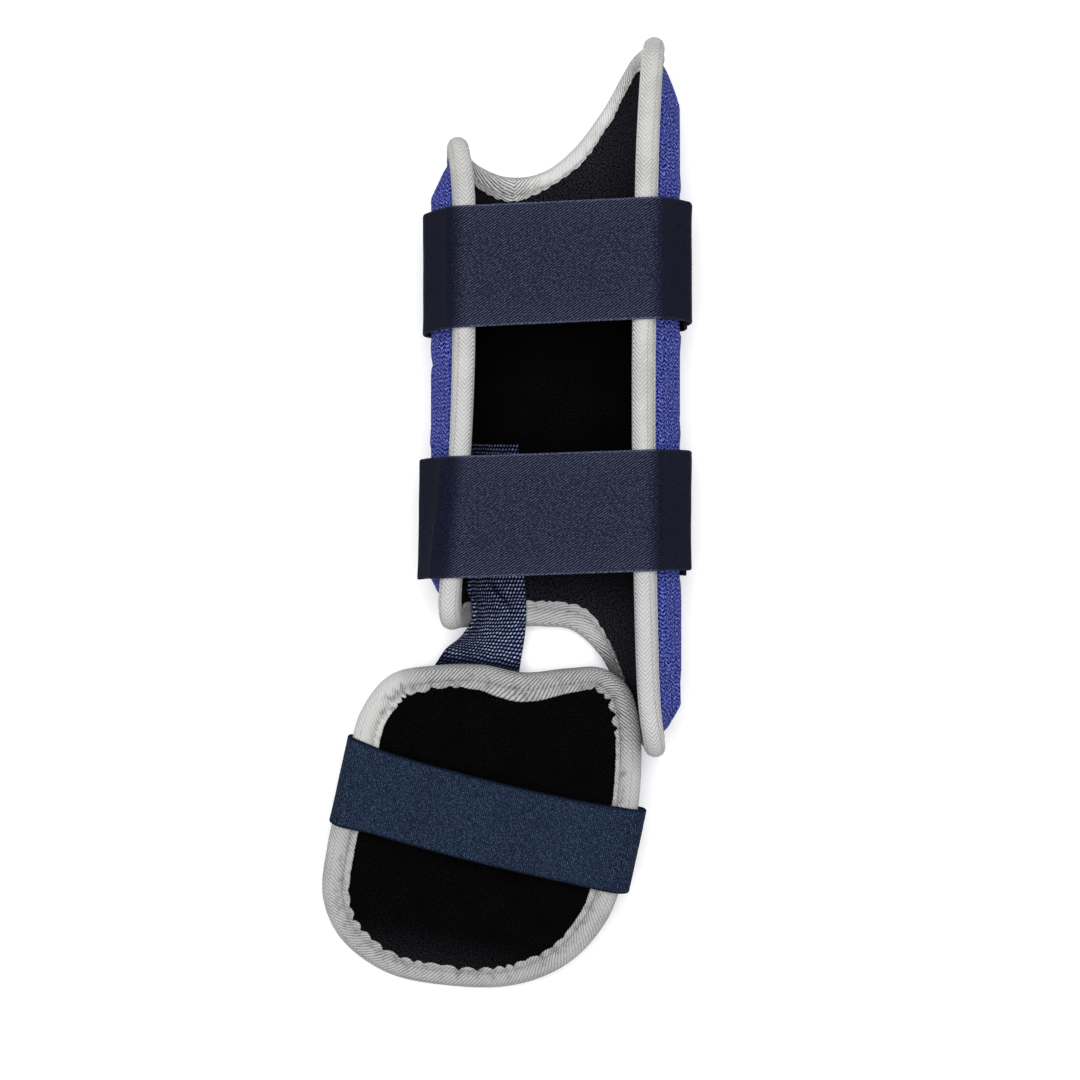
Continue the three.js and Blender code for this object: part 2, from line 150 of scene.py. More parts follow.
class PatternRow(NamedTuple):
    """Top and bottom of the shin guard's flat pattern at one place across the wrap."""

    across: float
    top: float
    bottom: float


class FlareRow(NamedTuple):
    """How far each rear edge springs outward at one height."""

    y: float
    left: float
    right: float


class OutlineRow(NamedTuple):
    """One point of the instep pad's outline, at the fold of its tape."""

    p: float
    q: float


SHIN_PATTERN = tuple(PatternRow(*row) for row in (
    (-96, 203, -0.5), (-72, 204, 0), (-50, 201, 0), (-36, 196.3, 0), (-20, 192, 0), (-5, 194.4, 0),
    (8, 204.4, -2), (20, 219.8, -13.6), (30, 234.2, -31.6), (38, 242.2, -43.2), (48, 245.3, -51),
    (64, 245.8, -53), (96, 244.5, -52.5),
))
SHIN_FLARE = tuple(FlareRow(*row) for row in (
    (-53, 9.5, 5), (-30, 9.5, 1.6), (0, 9, 0.1), (45, 5, -0.9), (85, 2, -1.3), (120, 0.8, -1.2),
    (175, 0.7, 0), (205, 3.5, 1), (247, 4, 4),
))
FOOT_OUTLINE = tuple(OutlineRow(*row) for row in (
    (-14, 66.8), (-31.8, 62.9), (-49.5, 55.5), (-58, 38.4), (-59.1, 12), (-60.2, -20),
    (-57.6, -43.9), (-47.1, -60.5), (-26.3, -71.4), (0.1, -71.5), (27.6, -64.3), (48.2, -48.7),
    (60.7, -25.2), (63.8, 3), (62.5, 32.3), (55.8, 60.6), (48.2, 72.8), (36, 77.2), (21.7, 73.4),
    (4, 67.4),
))


def smoothstep(value: Array, low: float, high: float) -> Array:
    """Share from 0 at low to 1 at high, along the cubic 3t² − 2t³."""
    t = np.clip((value - low) / (high - low), 0, 1)
    return t * t * (3 - 2 * t)


class Ramp(NamedTuple):
    """Soft change along a line, from 0 at one place to 1 at another."""

    start: float
    full: float

    def share(self, at: Array) -> Array:
        """Share from 0 to 1 at each place."""
        return smoothstep(at, self.start, self.full)


class Stretch(NamedTuple):
    """Soft window on a line: it rises between its first two places and falls between its last two."""

    start: float
    full: float
    fade: float
    end: float

    def share(self, at: Array) -> Array:
        """Share from 0 to 1 at each place, the rise times the fall."""
        return smoothstep(at, self.start, self.full) * smoothstep(at, self.end, self.fade)


class Area(NamedTuple):
    """Soft area of a flat pattern: a change across it times a change along it."""

    across: Ramp
    along: Ramp

    def share(self, across: Array, along: Array) -> Array:
        """Share from 0 to 1 at each place."""
        return self.across.share(across) * self.along.share(along)


def unit(vectors: Array) -> Array:
    """Vectors of length one along the last axis."""
    return vectors / np.maximum(np.linalg.norm(vectors, axis=-1, keepdims=True), TINY)


def turned(axis: int, angle: float) -> Array:
    """Matrix of a turn about one axis: cosines on the other two, and sines of both signs between them.

    Args:
        axis: Number of the axis, from 0.
        angle: The turn, anticlockwise as the axis points at the eye.

    Returns:
        A matrix of three by three.
    """
    matrix = np.eye(3)
    first, second = (axis + 1) % 3, (axis + 2) % 3
    matrix[[first, second], [first, second]] = math.cos(angle)
    matrix[first, second] = -math.sin(angle)
    matrix[second, first] = math.sin(angle)
    return matrix


def lengths(points: Array) -> Array:
    """Length along a line at each of its points."""
    return np.concatenate([[0], np.cumsum(np.linalg.norm(np.diff(points, axis=0), axis=1))])


def read_at(points: Array, along: Array, at: Array) -> Array:
    """Rows of a line at given lengths along it, on straight spans."""
    return np.stack([np.interp(at, along, column) for column in points.T], axis=-1)


def through(rows: tuple, key: str, column: str, at: Array) -> Array:
    """Smooth curve through a table: a cubic between rows, with each row's slope from its neighbours.

    Args:
        rows: Named rows in rising order of the key.
        key: Column that places a row.
        column: Column that the curve goes through.
        at: Places to read the curve at.

    Returns:
        The curve's value at each place, held level past the ends.
    """
    keys = np.array([getattr(row, key) for row in rows], float)
    values = np.array([getattr(row, column) for row in rows], float)
    before = np.maximum(np.arange(len(keys)) - 1, 0)
    after = np.minimum(np.arange(len(keys)) + 1, len(keys) - 1)
    slopes = (values[after] - values[before]) / (keys[after] - keys[before])
    k = np.clip(np.searchsorted(keys, at) - 1, 0, len(keys) - 2)
    span = keys[k + 1] - keys[k]
    t = np.clip((at - keys[k]) / span, 0, 1)
    level = values[k] * (1 + 2 * t) * (1 - t) ** 2 + values[k + 1] * t * t * (3 - 2 * t)
    return level + span * (slopes[k] * t * (1 - t) ** 2 - slopes[k + 1] * t * t * (1 - t))


def smooth_path(points: Array, steps: int, closed: bool = False) -> Array:
    """Curve through points: a cubic on each span, timed by the square root of the spans' lengths.

    Args:
        points: Rows of points that the curve goes through.
        steps: Points made on each span.
        closed: Whether the last point joins the first.

    Returns:
        The curve's points, with the last point of an open curve included.
    """
    if closed:
        before, after = points[-1:], points[:2]
    else:
        before, after = 2 * points[:1] - points[1:2], 2 * points[-1:] - points[-2:-1]
    line = np.concatenate([before, points, after])
    timed = np.sqrt(np.linalg.norm(np.diff(line, axis=0), axis=1))[:, None]
    first, here, there, last = line[:-3], line[1:-2], line[2:-1], line[3:]
    time_0, time_1, time_2 = timed[:-2], timed[1:-1], timed[2:]
    leave = (here - first) / time_0 - (there - first) / (time_0 + time_1) + (there - here) / time_1
    reach = (there - here) / time_1 - (last - here) / (time_1 + time_2) + (last - there) / time_2
    t = np.arange(steps)[None, :, None] / steps
    curve = (
        here[:, None] * (1 + 2 * t) * (1 - t) ** 2
        + there[:, None] * t * t * (3 - 2 * t)
        + (leave * time_1)[:, None] * t * (1 - t) ** 2
        - (reach * time_1)[:, None] * t * t * (1 - t)
    ).reshape(-1, points.shape[1])
    return curve if closed else np.concatenate([curve, points[-1:]])


def resample(points: Array, step: float, closed: bool = False) -> tuple[Array, Array]:
    """Points evenly spaced along a line.

    Args:
        points: The line's own points.
        step: Wanted spacing, which is rounded so that a whole number fits.
        closed: Whether the last point joins the first.

    Returns:
        The new points, and the length along the line at each. A closed line's start isn't repeated.
    """
    line = np.concatenate([points, points[:1]]) if closed else points
    along = lengths(line)
    count = max(int(round(along[-1] / step)), 2)
    at = np.linspace(0, along[-1], count + 1)
    at = at[:-1] if closed else at
    return read_at(line, along, at), at


def tangents(points: Array, closed: bool = False) -> Array:
    """Directions along a line, from each point's neighbours.

    Args:
        points: The line's points.
        closed: Whether the last point joins the first.

    Returns:
        A vector of length one at each point.
    """
    if closed:
        return unit(np.roll(points, -1, axis=0) - np.roll(points, 1, axis=0))
    return unit(np.gradient(points, axis=0))


class Ripples:
    """Soft unevenness: a sum of plane waves with drawn directions, lengths and phases."""

    def __init__(
        self, seed: int, shortest: float, longest: float, waves: int = 10, lean: float = math.pi
    ) -> None:
        """Draws the waves.

        Args:
            seed: Start of the random draws.
            shortest: Shortest wave length.
            longest: Longest wave length.
            waves: Number of waves in the sum.
            lean: Furthest that a wave's direction leans from the first axis.
        """
        draw = np.random.default_rng(seed)
        length = draw.uniform(shortest, longest, waves)
        turn = draw.uniform(-lean, lean, waves)
        self.first = 2 * np.pi * np.cos(turn) / length
        self.second = 2 * np.pi * np.sin(turn) / length
        self.phase = draw.uniform(0, 2 * np.pi, waves)

    def at(self, first: Array, second: Array) -> Array:
        """Height of the sum at each place, mostly from −1 to 1."""
        waves = np.cos(first[..., None] * self.first + second[..., None] * self.second + self.phase)
        return waves.sum(axis=-1) / math.sqrt(len(self.phase) * 2)


class Skin(NamedTuple):
    """Closed bodies over rows of section loops.

    Attributes:
        points: Copies by rows by loop points by 3. A loop's second half runs back beside its first half.
        flat: The cloth's flat coordinates, rows (one more if closed) by loop points and one more, by 2.
        closed: Whether the last row joins the first. An open body is capped across its two end loops.
        pull: A number at each point, or none. On a tape it says how far the ribs are pulled open, with
        places of wear below 0; it also carries painted shade, where the dark furrows widen, and below 0 a
        painted highlight on the instep tape. On the webbing it is painted shade: how dark it is at a crease,
        where it goes under the instep pad and at its upper end.
    """

    points: Array
    flat: Array
    closed: bool
    pull: Array | None = None


def strip_flat(along: Array, across: Array) -> Array:
    """Flat coordinates of a strip: across its width and along its length, with the loop's start repeated."""
    loop = np.append(across, across[0])
    return np.stack(np.broadcast_arrays(loop[None, :], along[:, None]), axis=-1)


def make_piece(name: str, skin: Skin) -> Piece:
    """Turns a skin into a smooth mesh object: a quad between neighbours on two rows, wound to face outward.

    Args:
        name: Name of the object and its mesh.
        skin: The body's points and flat coordinates.

    Returns:
        The new object, at the origin, with its flat coordinates in a UV map.
    """
    copies, rows, count = skin.points.shape[:3]
    i, j = (grid.ravel() for grid in np.mgrid[0 : rows if skin.closed else rows - 1, 0:count])
    row = np.stack([i, i, i + 1, i + 1], axis=1)
    place = np.stack([j, j + 1, j + 1, j], axis=1)
    if not skin.closed:
        near = np.arange(count // 2 - 1)
        cap = np.stack([count - 1 - near, count - 2 - near, near + 1, near], axis=1)
        row = np.concatenate([row, np.zeros_like(cap), np.full_like(cap, rows - 1)])
        place = np.concatenate([place, cap, cap[:, ::-1]])
    corner = (row % rows) * count + place % count
    corner_flat = skin.flat[row, place]
    solid = skin.points[0].reshape(-1, 3)
    a, b, c, d = (solid[corner[:, k]] for k in range(4))
    volume = np.einsum("ij,ij->", a, np.cross(b, c)) + np.einsum("ij,ij->", a, np.cross(c, d))
    if volume < 0:
        corner, corner_flat = corner[:, ::-1], corner_flat[:, ::-1]
    faces = (corner[None] + np.arange(copies)[:, None, None] * rows * count).reshape(-1, 4)
    mesh = bpy.data.meshes.new(name)
    mesh.vertices.add(copies * rows * count)
    mesh.vertices.foreach_set("co", (skin.points * MM).astype(np.float32).ravel())
    mesh.loops.add(faces.size)
    mesh.loops.foreach_set("vertex_index", faces.astype(np.int32).ravel())
    mesh.polygons.add(len(faces))
    mesh.polygons.foreach_set("loop_start", np.arange(0, faces.size, 4, dtype=np.int32))
    mesh.polygons.foreach_set("use_smooth", np.ones(len(faces), dtype=bool))
    flat_map = mesh.uv_layers.new(name=CLOTH_MAP)
    flat_map.data.foreach_set("uv", np.tile(corner_flat.astype(np.float32).ravel(), copies))
    if skin.pull is not None:
        carried = mesh.attributes.new(PULL_AND_PAINTED_LIGHT, "FLOAT", "POINT")
        carried.data.foreach_set("value", skin.pull.astype(np.float32).ravel())
    mesh.update(calc_edges=True)
    mesh.validate()
    piece = bpy.data.objects.new(name, mesh)
    bpy.context.scene.collection.objects.link(piece)
    return piece


def seat(piece: Piece, material: Material, node: str | None = None) -> Piece:
    """Dresses a piece, seats it on the guard's body and reports it.

    Args:
        piece: The mesh object.
        material: Its finish.
        node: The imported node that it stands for, if any.

    Returns:
        The same piece.
    """
    piece.data.materials.append(material)
    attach(piece, BODY)
    if node:
        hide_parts(node)
    log.info("%s: %d faces, for %s", piece.name, len(piece.data.polygons), node or "stitching")
    return piece


def strap_section(
    width: float, thickness: float, steps: int = 22, round_steps: int = 4
) -> tuple[Array, Array]:
    """Loop of a strap's section: level faces and half-round edges.

    Args:
        width: Width over the round edges.
        thickness: Distance between the faces.
        steps: Points on each face.
        round_steps: Points on each quarter of an edge.

    Returns:
        Places across the width, and heights over the inner face. The outer face comes first.
    """
    radius = thickness / 2
    level = width / 2 - radius
    turn = (np.arange(round_steps) + 0.5) / round_steps * np.pi / 2
    across = np.concatenate([-level - radius * np.cos(turn), np.linspace(-level, level, steps)])
    across = np.concatenate([across, level + radius * np.cos(turn[::-1])])
    height = radius + radius * np.concatenate([np.sin(turn), np.ones(steps), np.sin(turn[::-1])])
    return np.concatenate([across, across[::-1]]), np.concatenate([height, thickness - height[::-1]])


def stitch_skin(starts: Array, ends: Array, normals: Array, radius: float, dip: float) -> Skin:
    """Stitches as short round threads that dip into the cloth at both ends.

    Args:
        starts: First end of each stitch, on the cloth.
        ends: Second end of each stitch.
        normals: Way out of the cloth at each stitch.
        radius: Thickest radius of the thread.
        dip: Depth that the ends go below the cloth.

    Returns:
        One body for each stitch.
    """
    share = np.linspace(0, 1, STITCH_RINGS)
    arch = np.sin(np.pi * share)
    turn = np.arange(STITCH_SIDES) / STITCH_SIDES * 2 * np.pi
    along = unit(ends - starts)
    side = np.cross(along, normals)
    middle = starts[:, None] + (ends - starts)[:, None] * share[None, :, None]
    middle = middle + normals[:, None] * ((radius + dip) * arch ** 0.6 - dip)[None, :, None]
    thick = radius * (THREAD_END + (1 - THREAD_END) * arch ** 0.5)[None, :, None, None]
    spoke = side[:, None] * np.cos(turn)[None, :, None] + normals[:, None] * np.sin(turn)[None, :, None]
    points = middle[:, :, None] + spoke[:, None] * thick
    return Skin(points, strip_flat(share * np.linalg.norm(ends[0] - starts[0]), radius * turn), False)


def joined(rows: list[Skin]) -> Skin:
    """All stitches of several rows as one skin, with the first row's flat coordinates."""
    return Skin(np.concatenate([row.points for row in rows]), rows[0].flat, False)


@dataclass(frozen=True)
class ShinForm:
    """Wrapped form of the shin guard: a flat front, round corners, and walls that lean in.

    A flat-pattern place is a length across the wrap and a height y. Raised is the distance outward from the
    seam of cover and lining, negative towards the leg.
    """

    place_x: float = 21.3
    place_y: float = -46.0
    front_half: float = 12.0
    corner_radius: float = 28.5
    wall_rise: float = 38.5
    wall_lean: float = 5.0
    tip_radius: float = 14.0
    top_join: float = -18.0
    steep_top: float = 1.06
    steep_left: float = 0.08
    steep_reach: float = 20.0
    steep_bottom: float = 1.35
    crowded: float = 0.45
    outline_points: int = 600

    @property
    def front_z(self) -> float:
        """Height of the seam over the floor along the flat front."""
        return PLIES.pad_full + PLIES.gap / 2

    @property
    def widest_z(self) -> float:
        """Height at which the section is widest."""
        return self.front_z + self.corner_radius

    @property
    def corner_length(self) -> float:
        """Length of cloth round one corner, a quarter circle."""
        return self.corner_radius * math.pi / 2

    @property
    def wall_radius(self) -> float:
        """Radius of the arc that rises and leans in by the wall's sizes."""
        return (self.wall_rise ** 2 + self.wall_lean ** 2) / (2 * self.wall_lean)

    @property
    def half(self) -> float:
        """Length of cloth from the middle of the front to a rear edge."""
        wall = self.wall_radius * math.asin(self.wall_rise / self.wall_radius)
        return self.front_half + self.corner_length + wall

    def section(self, across: Array) -> tuple[Array, Array]:
        """Section at a length across: level, then a quarter circle, then the wall's flat arc.

        Args:
            across: Length from the middle of the front, positive to the right.

        Returns:
            Places along X, from the guard's middle, and heights.
        """
        length = np.abs(across)
        corner = np.clip((length - self.front_half) / self.corner_radius, 0, math.pi / 2)
        wall = np.maximum(length - self.front_half - self.corner_length, 0) / self.wall_radius
        level = np.minimum(length, self.front_half)
        x = level + self.corner_radius * np.sin(corner) - self.wall_radius * (1 - np.cos(wall))
        z = self.front_z + self.corner_radius * (1 - np.cos(corner)) + self.wall_radius * np.sin(wall)
        return np.sign(across) * x, z

    def sprung(self, across: Array, y: Array) -> Array:
        """Section with its walls sprung outward by the flare times the square of the height's share.

        Args:
            across: Lengths across the wrap.
            y: Heights on the pattern.

        Returns:
            Places along X, from the guard's middle, and heights, in pairs.
        """
        x, z = self.section(across)
        height = np.maximum(z - self.widest_z, 0) / self.wall_rise
        left = through(SHIN_FLARE, "y", "left", y)
        right = through(SHIN_FLARE, "y", "right", y)
        flare = np.where(across < 0, left, right)
        return np.stack([x + np.sign(across) * flare * height ** 2, z], axis=-1)

    def place(self, across: Array, y: Array, raised: Array) -> Array:
        """Point over a flat-pattern place: the sprung section, moved along its outward normal.

        Args:
            across: Lengths across the wrap.
            y: Heights on the pattern.
            raised: Distances outward from the seam.

        Returns:
            Points in the guard's own frame.
        """
        across, y, raised = np.broadcast_arrays(across, y, raised)
        here = self.sprung(across, y)
        along = unit(self.sprung(across + SLOPE_STEP, y) - self.sprung(across - SLOPE_STEP, y))
        x = here[..., 0] + along[..., 1] * raised + self.place_x
        z = here[..., 1] - along[..., 0] * raised
        return np.stack([x, y + self.place_y, z], axis=-1)

    def slant(self, edge: Edge, across: Array) -> Array:
        """Lengthening of a distance measured along Y to an edge that runs slanting."""
        behind, ahead = (through(SHIN_PATTERN, "across", edge.value, across + step) for step in (-1, 1))
        return np.hypot(1, (ahead - behind) / 2)

    def edge(self, edge: Edge, across: Array) -> Array:
        """Height of the cloth's top or bottom edge: the pattern's, less the tape's fold, with round tips.

        Args:
            edge: The edge.
            across: Lengths across the wrap.

        Returns:
            Heights on the pattern.
        """
        inward = np.minimum(self.tip_radius, self.half - np.abs(across))
        drop = self.tip_radius - np.sqrt(self.tip_radius ** 2 - (self.tip_radius - inward) ** 2)
        inset = drop + PLIES.fold * self.slant(edge, across)
        pattern = through(SHIN_PATTERN, "across", edge.value, across)
        return pattern - inset if edge is Edge.TOP else pattern + inset

    def inward(self, across: Array, y: Array) -> tuple[Array, Array, Array]:
        """Distances inward of the edges.

        Args:
            across: Lengths across the wrap.
            y: Heights on the pattern.

        Returns:
            Distances from the nearer rear edge, the top edge and the bottom edge.
        """
        side = self.half - np.abs(across)
        top = (self.edge(Edge.TOP, across) - y) / self.slant(Edge.TOP, across)
        bottom = (y - self.edge(Edge.BOTTOM, across)) / self.slant(Edge.BOTTOM, across)
        return side, top, bottom

    def swell(self, across: Array, y: Array) -> Array:
        """Share of the full padding: the product of the shares inward of each edge, steepest below.

        Args:
            across: Lengths across the wrap.
            y: Heights on the pattern.

        Returns:
            Shares from 0 to 1.
        """
        side, top, bottom = self.inward(across, y)
        upper = self.steep_top - self.steep_left * np.tanh(across / self.steep_reach)
        return PLIES.swell(side) * PLIES.swell(top, upper) * PLIES.swell(bottom, self.steep_bottom)

    def grid(self, columns: int, rows: int) -> tuple[Array, Array]:
        """Flat-pattern places in even rows, with columns that crowd towards the rear edges.

        Args:
            columns: Places across the wrap.
            rows: Places along it.

        Returns:
            Lengths across, and heights, rows by columns.
        """
        even = np.linspace(-1, 1, columns)
        across = self.half * ((1 - self.crowded) * even + self.crowded * np.sin(even * np.pi / 2))
        low, high = self.edge(Edge.BOTTOM, across), self.edge(Edge.TOP, across)
        share = np.linspace(0, 1, rows)[:, None]
        return np.broadcast_to(across, (rows, columns)), low + (high - low) * share

    def outline(self, step: float) -> tuple[Array, Array]:
        """Edge of the cloth, anticlockwise from the join of the tape's ends on the top edge.

        Args:
            step: Spacing along the edge.

        Returns:
            Flat-pattern places, and the length along the edge at each.
        """
        across = self.half * np.sin(np.linspace(-np.pi / 2, np.pi / 2, self.outline_points))
        bottom = np.stack([across, self.edge(Edge.BOTTOM, across)], axis=-1)
        top = np.stack([across, self.edge(Edge.TOP, across)], axis=-1)[::-1]
        join = np.argmin(np.abs(top[:, 0] - self.top_join))
        return resample(np.concatenate([top[join:], bottom, top[:join]]), step, closed=True)


@dataclass(frozen=True)
class FootForm:
    """Bowed form of the instep pad. Place p runs to the right, q to the shin, raised towards the foot."""

    bow: float = 110.0
    top: float = 65.5
    place_at: Place = (-9.9, -130.0, 16.4)
    yaw: float = math.radians(-12)
    pitch: float = math.radians(5.4)
    roll: float = math.radians(-5.2)
    outline_steps: int = 40

    def lies(self, points: Array) -> Array:
        """Points of the pad's own frame, rolled, pitched, yawed and moved to where the pad lies."""
        turn = turned(2, self.yaw) @ turned(0, self.pitch) @ turned(1, self.roll)
        return points @ turn.T + np.array(self.place_at)

    def local(self, p: Array, q: Array, raised: Array) -> Array:
        """Point over the pad's plane: a cylinder bowed across, moved along its normal.

        Args:
            p: Places to the right.
            q: Places towards the shin.
            raised: Distances towards the foot.

        Returns:
            Points in the pad's own frame.
        """
        p, q, raised = np.broadcast_arrays(p, q, raised)
        lift = self.bow - np.sqrt(self.bow ** 2 - p ** 2)
        lean = p / self.bow
        return np.stack([p - lean * raised, q, lift + np.sqrt(1 - lean ** 2) * raised], axis=-1)

    def place(self, p: Array, q: Array, raised: Array) -> Array:
        """Point over the pad's plane, where the pad lies."""
        return self.lies(self.local(p, q, raised))

    def outline(self, step: float) -> tuple[Array, Array]:
        """Edge of the cloth, anticlockwise: a smooth loop through the table, inset by the tape's fold.

        Args:
            step: Spacing along the edge.

        Returns:
            Places p and q, and the length along the edge at each.
        """
        loop = smooth_path(np.array(FOOT_OUTLINE, float), self.outline_steps, closed=True)
        fold, along = resample(loop, step, closed=True)
        way = tangents(fold, closed=True)
        return fold + np.stack([-way[:, 1], way[:, 0]], axis=-1) * PLIES.fold, along


SHIN = ShinForm()
FOOT = FootForm()


class Surface(NamedTuple):
    """Depth of a cloth's relief, its roughness, and the level of its mirror-like reflection."""

    relief: float
    roughness: float
    gloss: float


class Sketch:
    """Node tree of one material, built up socket by socket from the cloth's flat coordinates."""

    def __init__(self, name: str) -> None:
        """Starts a material with its shader.

        Args:
            name: The material's name.
        """
        self.material = bpy.data.materials.new(name)
        self.material.use_nodes = True
        self.tree = self.material.node_tree
        self.shader = self.tree.nodes["Principled BSDF"]

    def node(self, kind: str, **settings: object) -> bpy.types.Node:
        """Adds a node and sets its options.

        Args:
            kind: The node's type.
            settings: Options by name.

        Returns:
            The node.
        """
        node = self.tree.nodes.new(kind)
        for name, value in settings.items():
            setattr(node, name, value)
        return node

    def feed(self, socket: Socket, value: Socket | float | tuple) -> None:
        """Links a socket to another, or sets its own value.

        Args:
            socket: The socket that is fed.
            value: The socket or the value that feeds it.
        """
        if isinstance(value, bpy.types.NodeSocket):
            self.tree.links.new(value, socket)
        else:
            socket.default_value = value

    def result(self, kind: str, output: int | str, fed: dict, **settings: object) -> Socket:
        """Adds a node, feeds it and gives one of its outputs.

        Args:
            kind: The node's type.
            output: Name or number of the output.
            fed: What feeds its inputs, by their names or numbers.
            settings: Options by name.

        Returns:
            The output's socket.
        """
        node = self.node(kind, **settings)
        for key, value in fed.items():
            self.feed(node.inputs[key], value)
        return node.outputs[output]

    def math(self, operation: str, *values: Socket | float) -> Socket:
        """Result of one sum on sockets or numbers."""
        return self.result("ShaderNodeMath", 0, dict(enumerate(values)), operation=operation)

    def times(self, first: Socket | float, second: Socket | float) -> Socket:
        """First value times the second."""
        return self.math("MULTIPLY", first, second)

    def plus(self, first: Socket | float, second: Socket | float) -> Socket:
        """First value plus the second."""
        return self.math("ADD", first, second)

    def scaled(self, value: Socket, factor: Socket | float, added: Socket | float) -> Socket:
        """Value times a factor, with a number added."""
        return self.math("MULTIPLY_ADD", value, factor, added)

    def ramp(self, value: Socket, low: Socket | float, high: float) -> Socket:
        """Smooth share from 0 at low to 1 at high."""
        fed = {"Value": value, "From Min": low, "From Max": high}
        return self.result("ShaderNodeMapRange", "Result", fed, interpolation_type="SMOOTHSTEP")

    def wave(self, phase: Socket) -> Socket:
        """Wave from 0 to 1, once for each whole number of the phase."""
        turn = self.math("SINE", self.times(phase, 2 * math.pi))
        return self.scaled(turn, 0.5, 0.5)

    def mix(self, share: Socket, first: Socket | Colour, second: Socket | Colour) -> Socket:
        """Colour between two colours."""
        ends = [(*colour, 1.0) if isinstance(colour, tuple) else colour for colour in (first, second)]
        return self.result("ShaderNodeMix", 2, {"Factor": share, 6: ends[0], 7: ends[1]}, data_type="RGBA")

    def flat(self) -> tuple[Socket, Socket]:
        """Reads the cloth's flat coordinates.

        Returns:
            Places across and along the cloth, in millimetres.
        """
        where = self.node("ShaderNodeUVMap", uv_map=CLOTH_MAP)
        parts = self.node("ShaderNodeSeparateXYZ")
        self.feed(parts.inputs[0], where.outputs[0])
        return parts.outputs[0], parts.outputs[1]

    def attribute(self, name: str) -> Socket:
        """Number that the piece carries at each point."""
        return self.node("ShaderNodeAttribute", attribute_name=name).outputs["Fac"]

    def pair(self, first: Socket, second: Socket) -> Socket:
        """Vector of two numbers."""
        return self.result("ShaderNodeCombineXYZ", 0, {0: first, 1: second})

    def noise(self, where: Socket, scale: float, detail: float = 2.0) -> Socket:
        """Soft noise from 0 to 1, with a number of lumps for each millimetre."""
        fed = {"Vector": where, "Scale": scale, "Detail": detail}
        return self.result("ShaderNodeTexNoise", 0, fed, noise_dimensions="2D")

    def cells(
        self, across: Socket, along: Socket, wide: float, long: float, slant: float = 0.0
    ) -> tuple[Socket, Socket]:
        """Yarns that come up in staggered rows, as bricks lie in a wall.

        Args:
            across: Place across the cloth.
            along: Place along it.
            wide: Spacing across.
            long: Spacing of the rows.
            slant: Share of the spacing that a yarn leans across its row.

        Returns:
            Height of a yarn's round top from 0 to 1, and a number drawn for each yarn.
        """
        row = self.math("DIVIDE", along, long)
        stagger = self.times(self.math("FLOOR", row), 0.5)
        lean = self.scaled(self.math("FRACT", row), slant, stagger)
        place = self.plus(self.math("DIVIDE", across, wide), lean)
        round_row = self.math("SINE", self.times(self.math("FRACT", row), math.pi))
        round_place = self.math("SINE", self.times(self.math("FRACT", place), math.pi))
        fed = {"Vector": self.pair(self.math("FLOOR", place), self.math("FLOOR", row))}
        drawn = self.result("ShaderNodeTexWhiteNoise", "Value", fed, noise_dimensions="2D")
        return self.times(round_row, round_place), drawn

    def finish(self, colour: Socket, height: Socket, surface: Surface) -> Material:
        """Sets the shader from a colour and a relief.

        Args:
            colour: Base colour.
            height: Relief from 0 to 1.
            surface: The relief's depth, the roughness and the gloss.

        Returns:
            The finished material.
        """
        bump = self.node("ShaderNodeBump")
        self.feed(bump.inputs["Height"], height)
        self.feed(bump.inputs["Distance"], surface.relief * MM)
        self.feed(self.shader.inputs["Normal"], bump.outputs[0])
        self.feed(self.shader.inputs["Base Color"], colour)
        self.feed(self.shader.inputs["Roughness"], surface.roughness)
        self.feed(self.shader.inputs["Specular IOR Level"], surface.gloss)
        return self.material


@dataclass(frozen=True)
class MeshCloth:
    """Coarse blue cloth of the covers: slanting yarns that turn about in a close zigzag, with dark gaps."""

    name: str = "blue_mesh_cloth"
    gap: Colour = (0.002, 0.003, 0.055)
    yarn: Colour = (0.078, 0.100, 0.425)
    glint: Colour = (0.26, 0.31, 0.80)
    pitch: float = 1.75
    zigzag: float = 3.8
    surface: Surface = Surface(0.3, 0.85, 0.03)

    def material(self) -> Material:
        """Colour by the height of the zigzag ribs and their fibres, with painted glints that make some yarns
        much brighter.

        Returns:
            The covers' material.
        """
        sketch = Sketch(self.name)
        across, along = sketch.flat()
        where = sketch.pair(across, along)
        drift = sketch.scaled(sketch.noise(where, 0.35), 2.0, -1.0)
        column = sketch.math("FRACT", sketch.math("DIVIDE", sketch.plus(across, drift), self.zigzag))
        fold = sketch.math("ABSOLUTE", sketch.math("SUBTRACT", column, 0.5))
        steps = sketch.math("DIVIDE", sketch.plus(along, drift), self.pitch)
        rib = sketch.wave(sketch.scaled(fold, 1.5, steps))
        rib = sketch.times(rib, sketch.scaled(sketch.ramp(fold, 0.0, 0.2), 0.5, 0.5))
        fibre = sketch.ramp(sketch.noise(where, 1.3, 2.0), 0.32, 0.68)
        height = sketch.scaled(rib, 0.5, sketch.times(fibre, 0.5))
        base = sketch.mix(sketch.ramp(height, 0.2, 0.72), self.gap, self.yarn)
        # Painted glints: patches of high yarn tops in the bright glint colour.
        patch = sketch.ramp(sketch.noise(where, 0.8), 0.4, 0.66)
        bright = sketch.times(patch, sketch.ramp(height, 0.5, 0.9))
        colour = sketch.mix(sketch.times(bright, 0.85), base, self.glint)
        return sketch.finish(colour, height, self.surface)


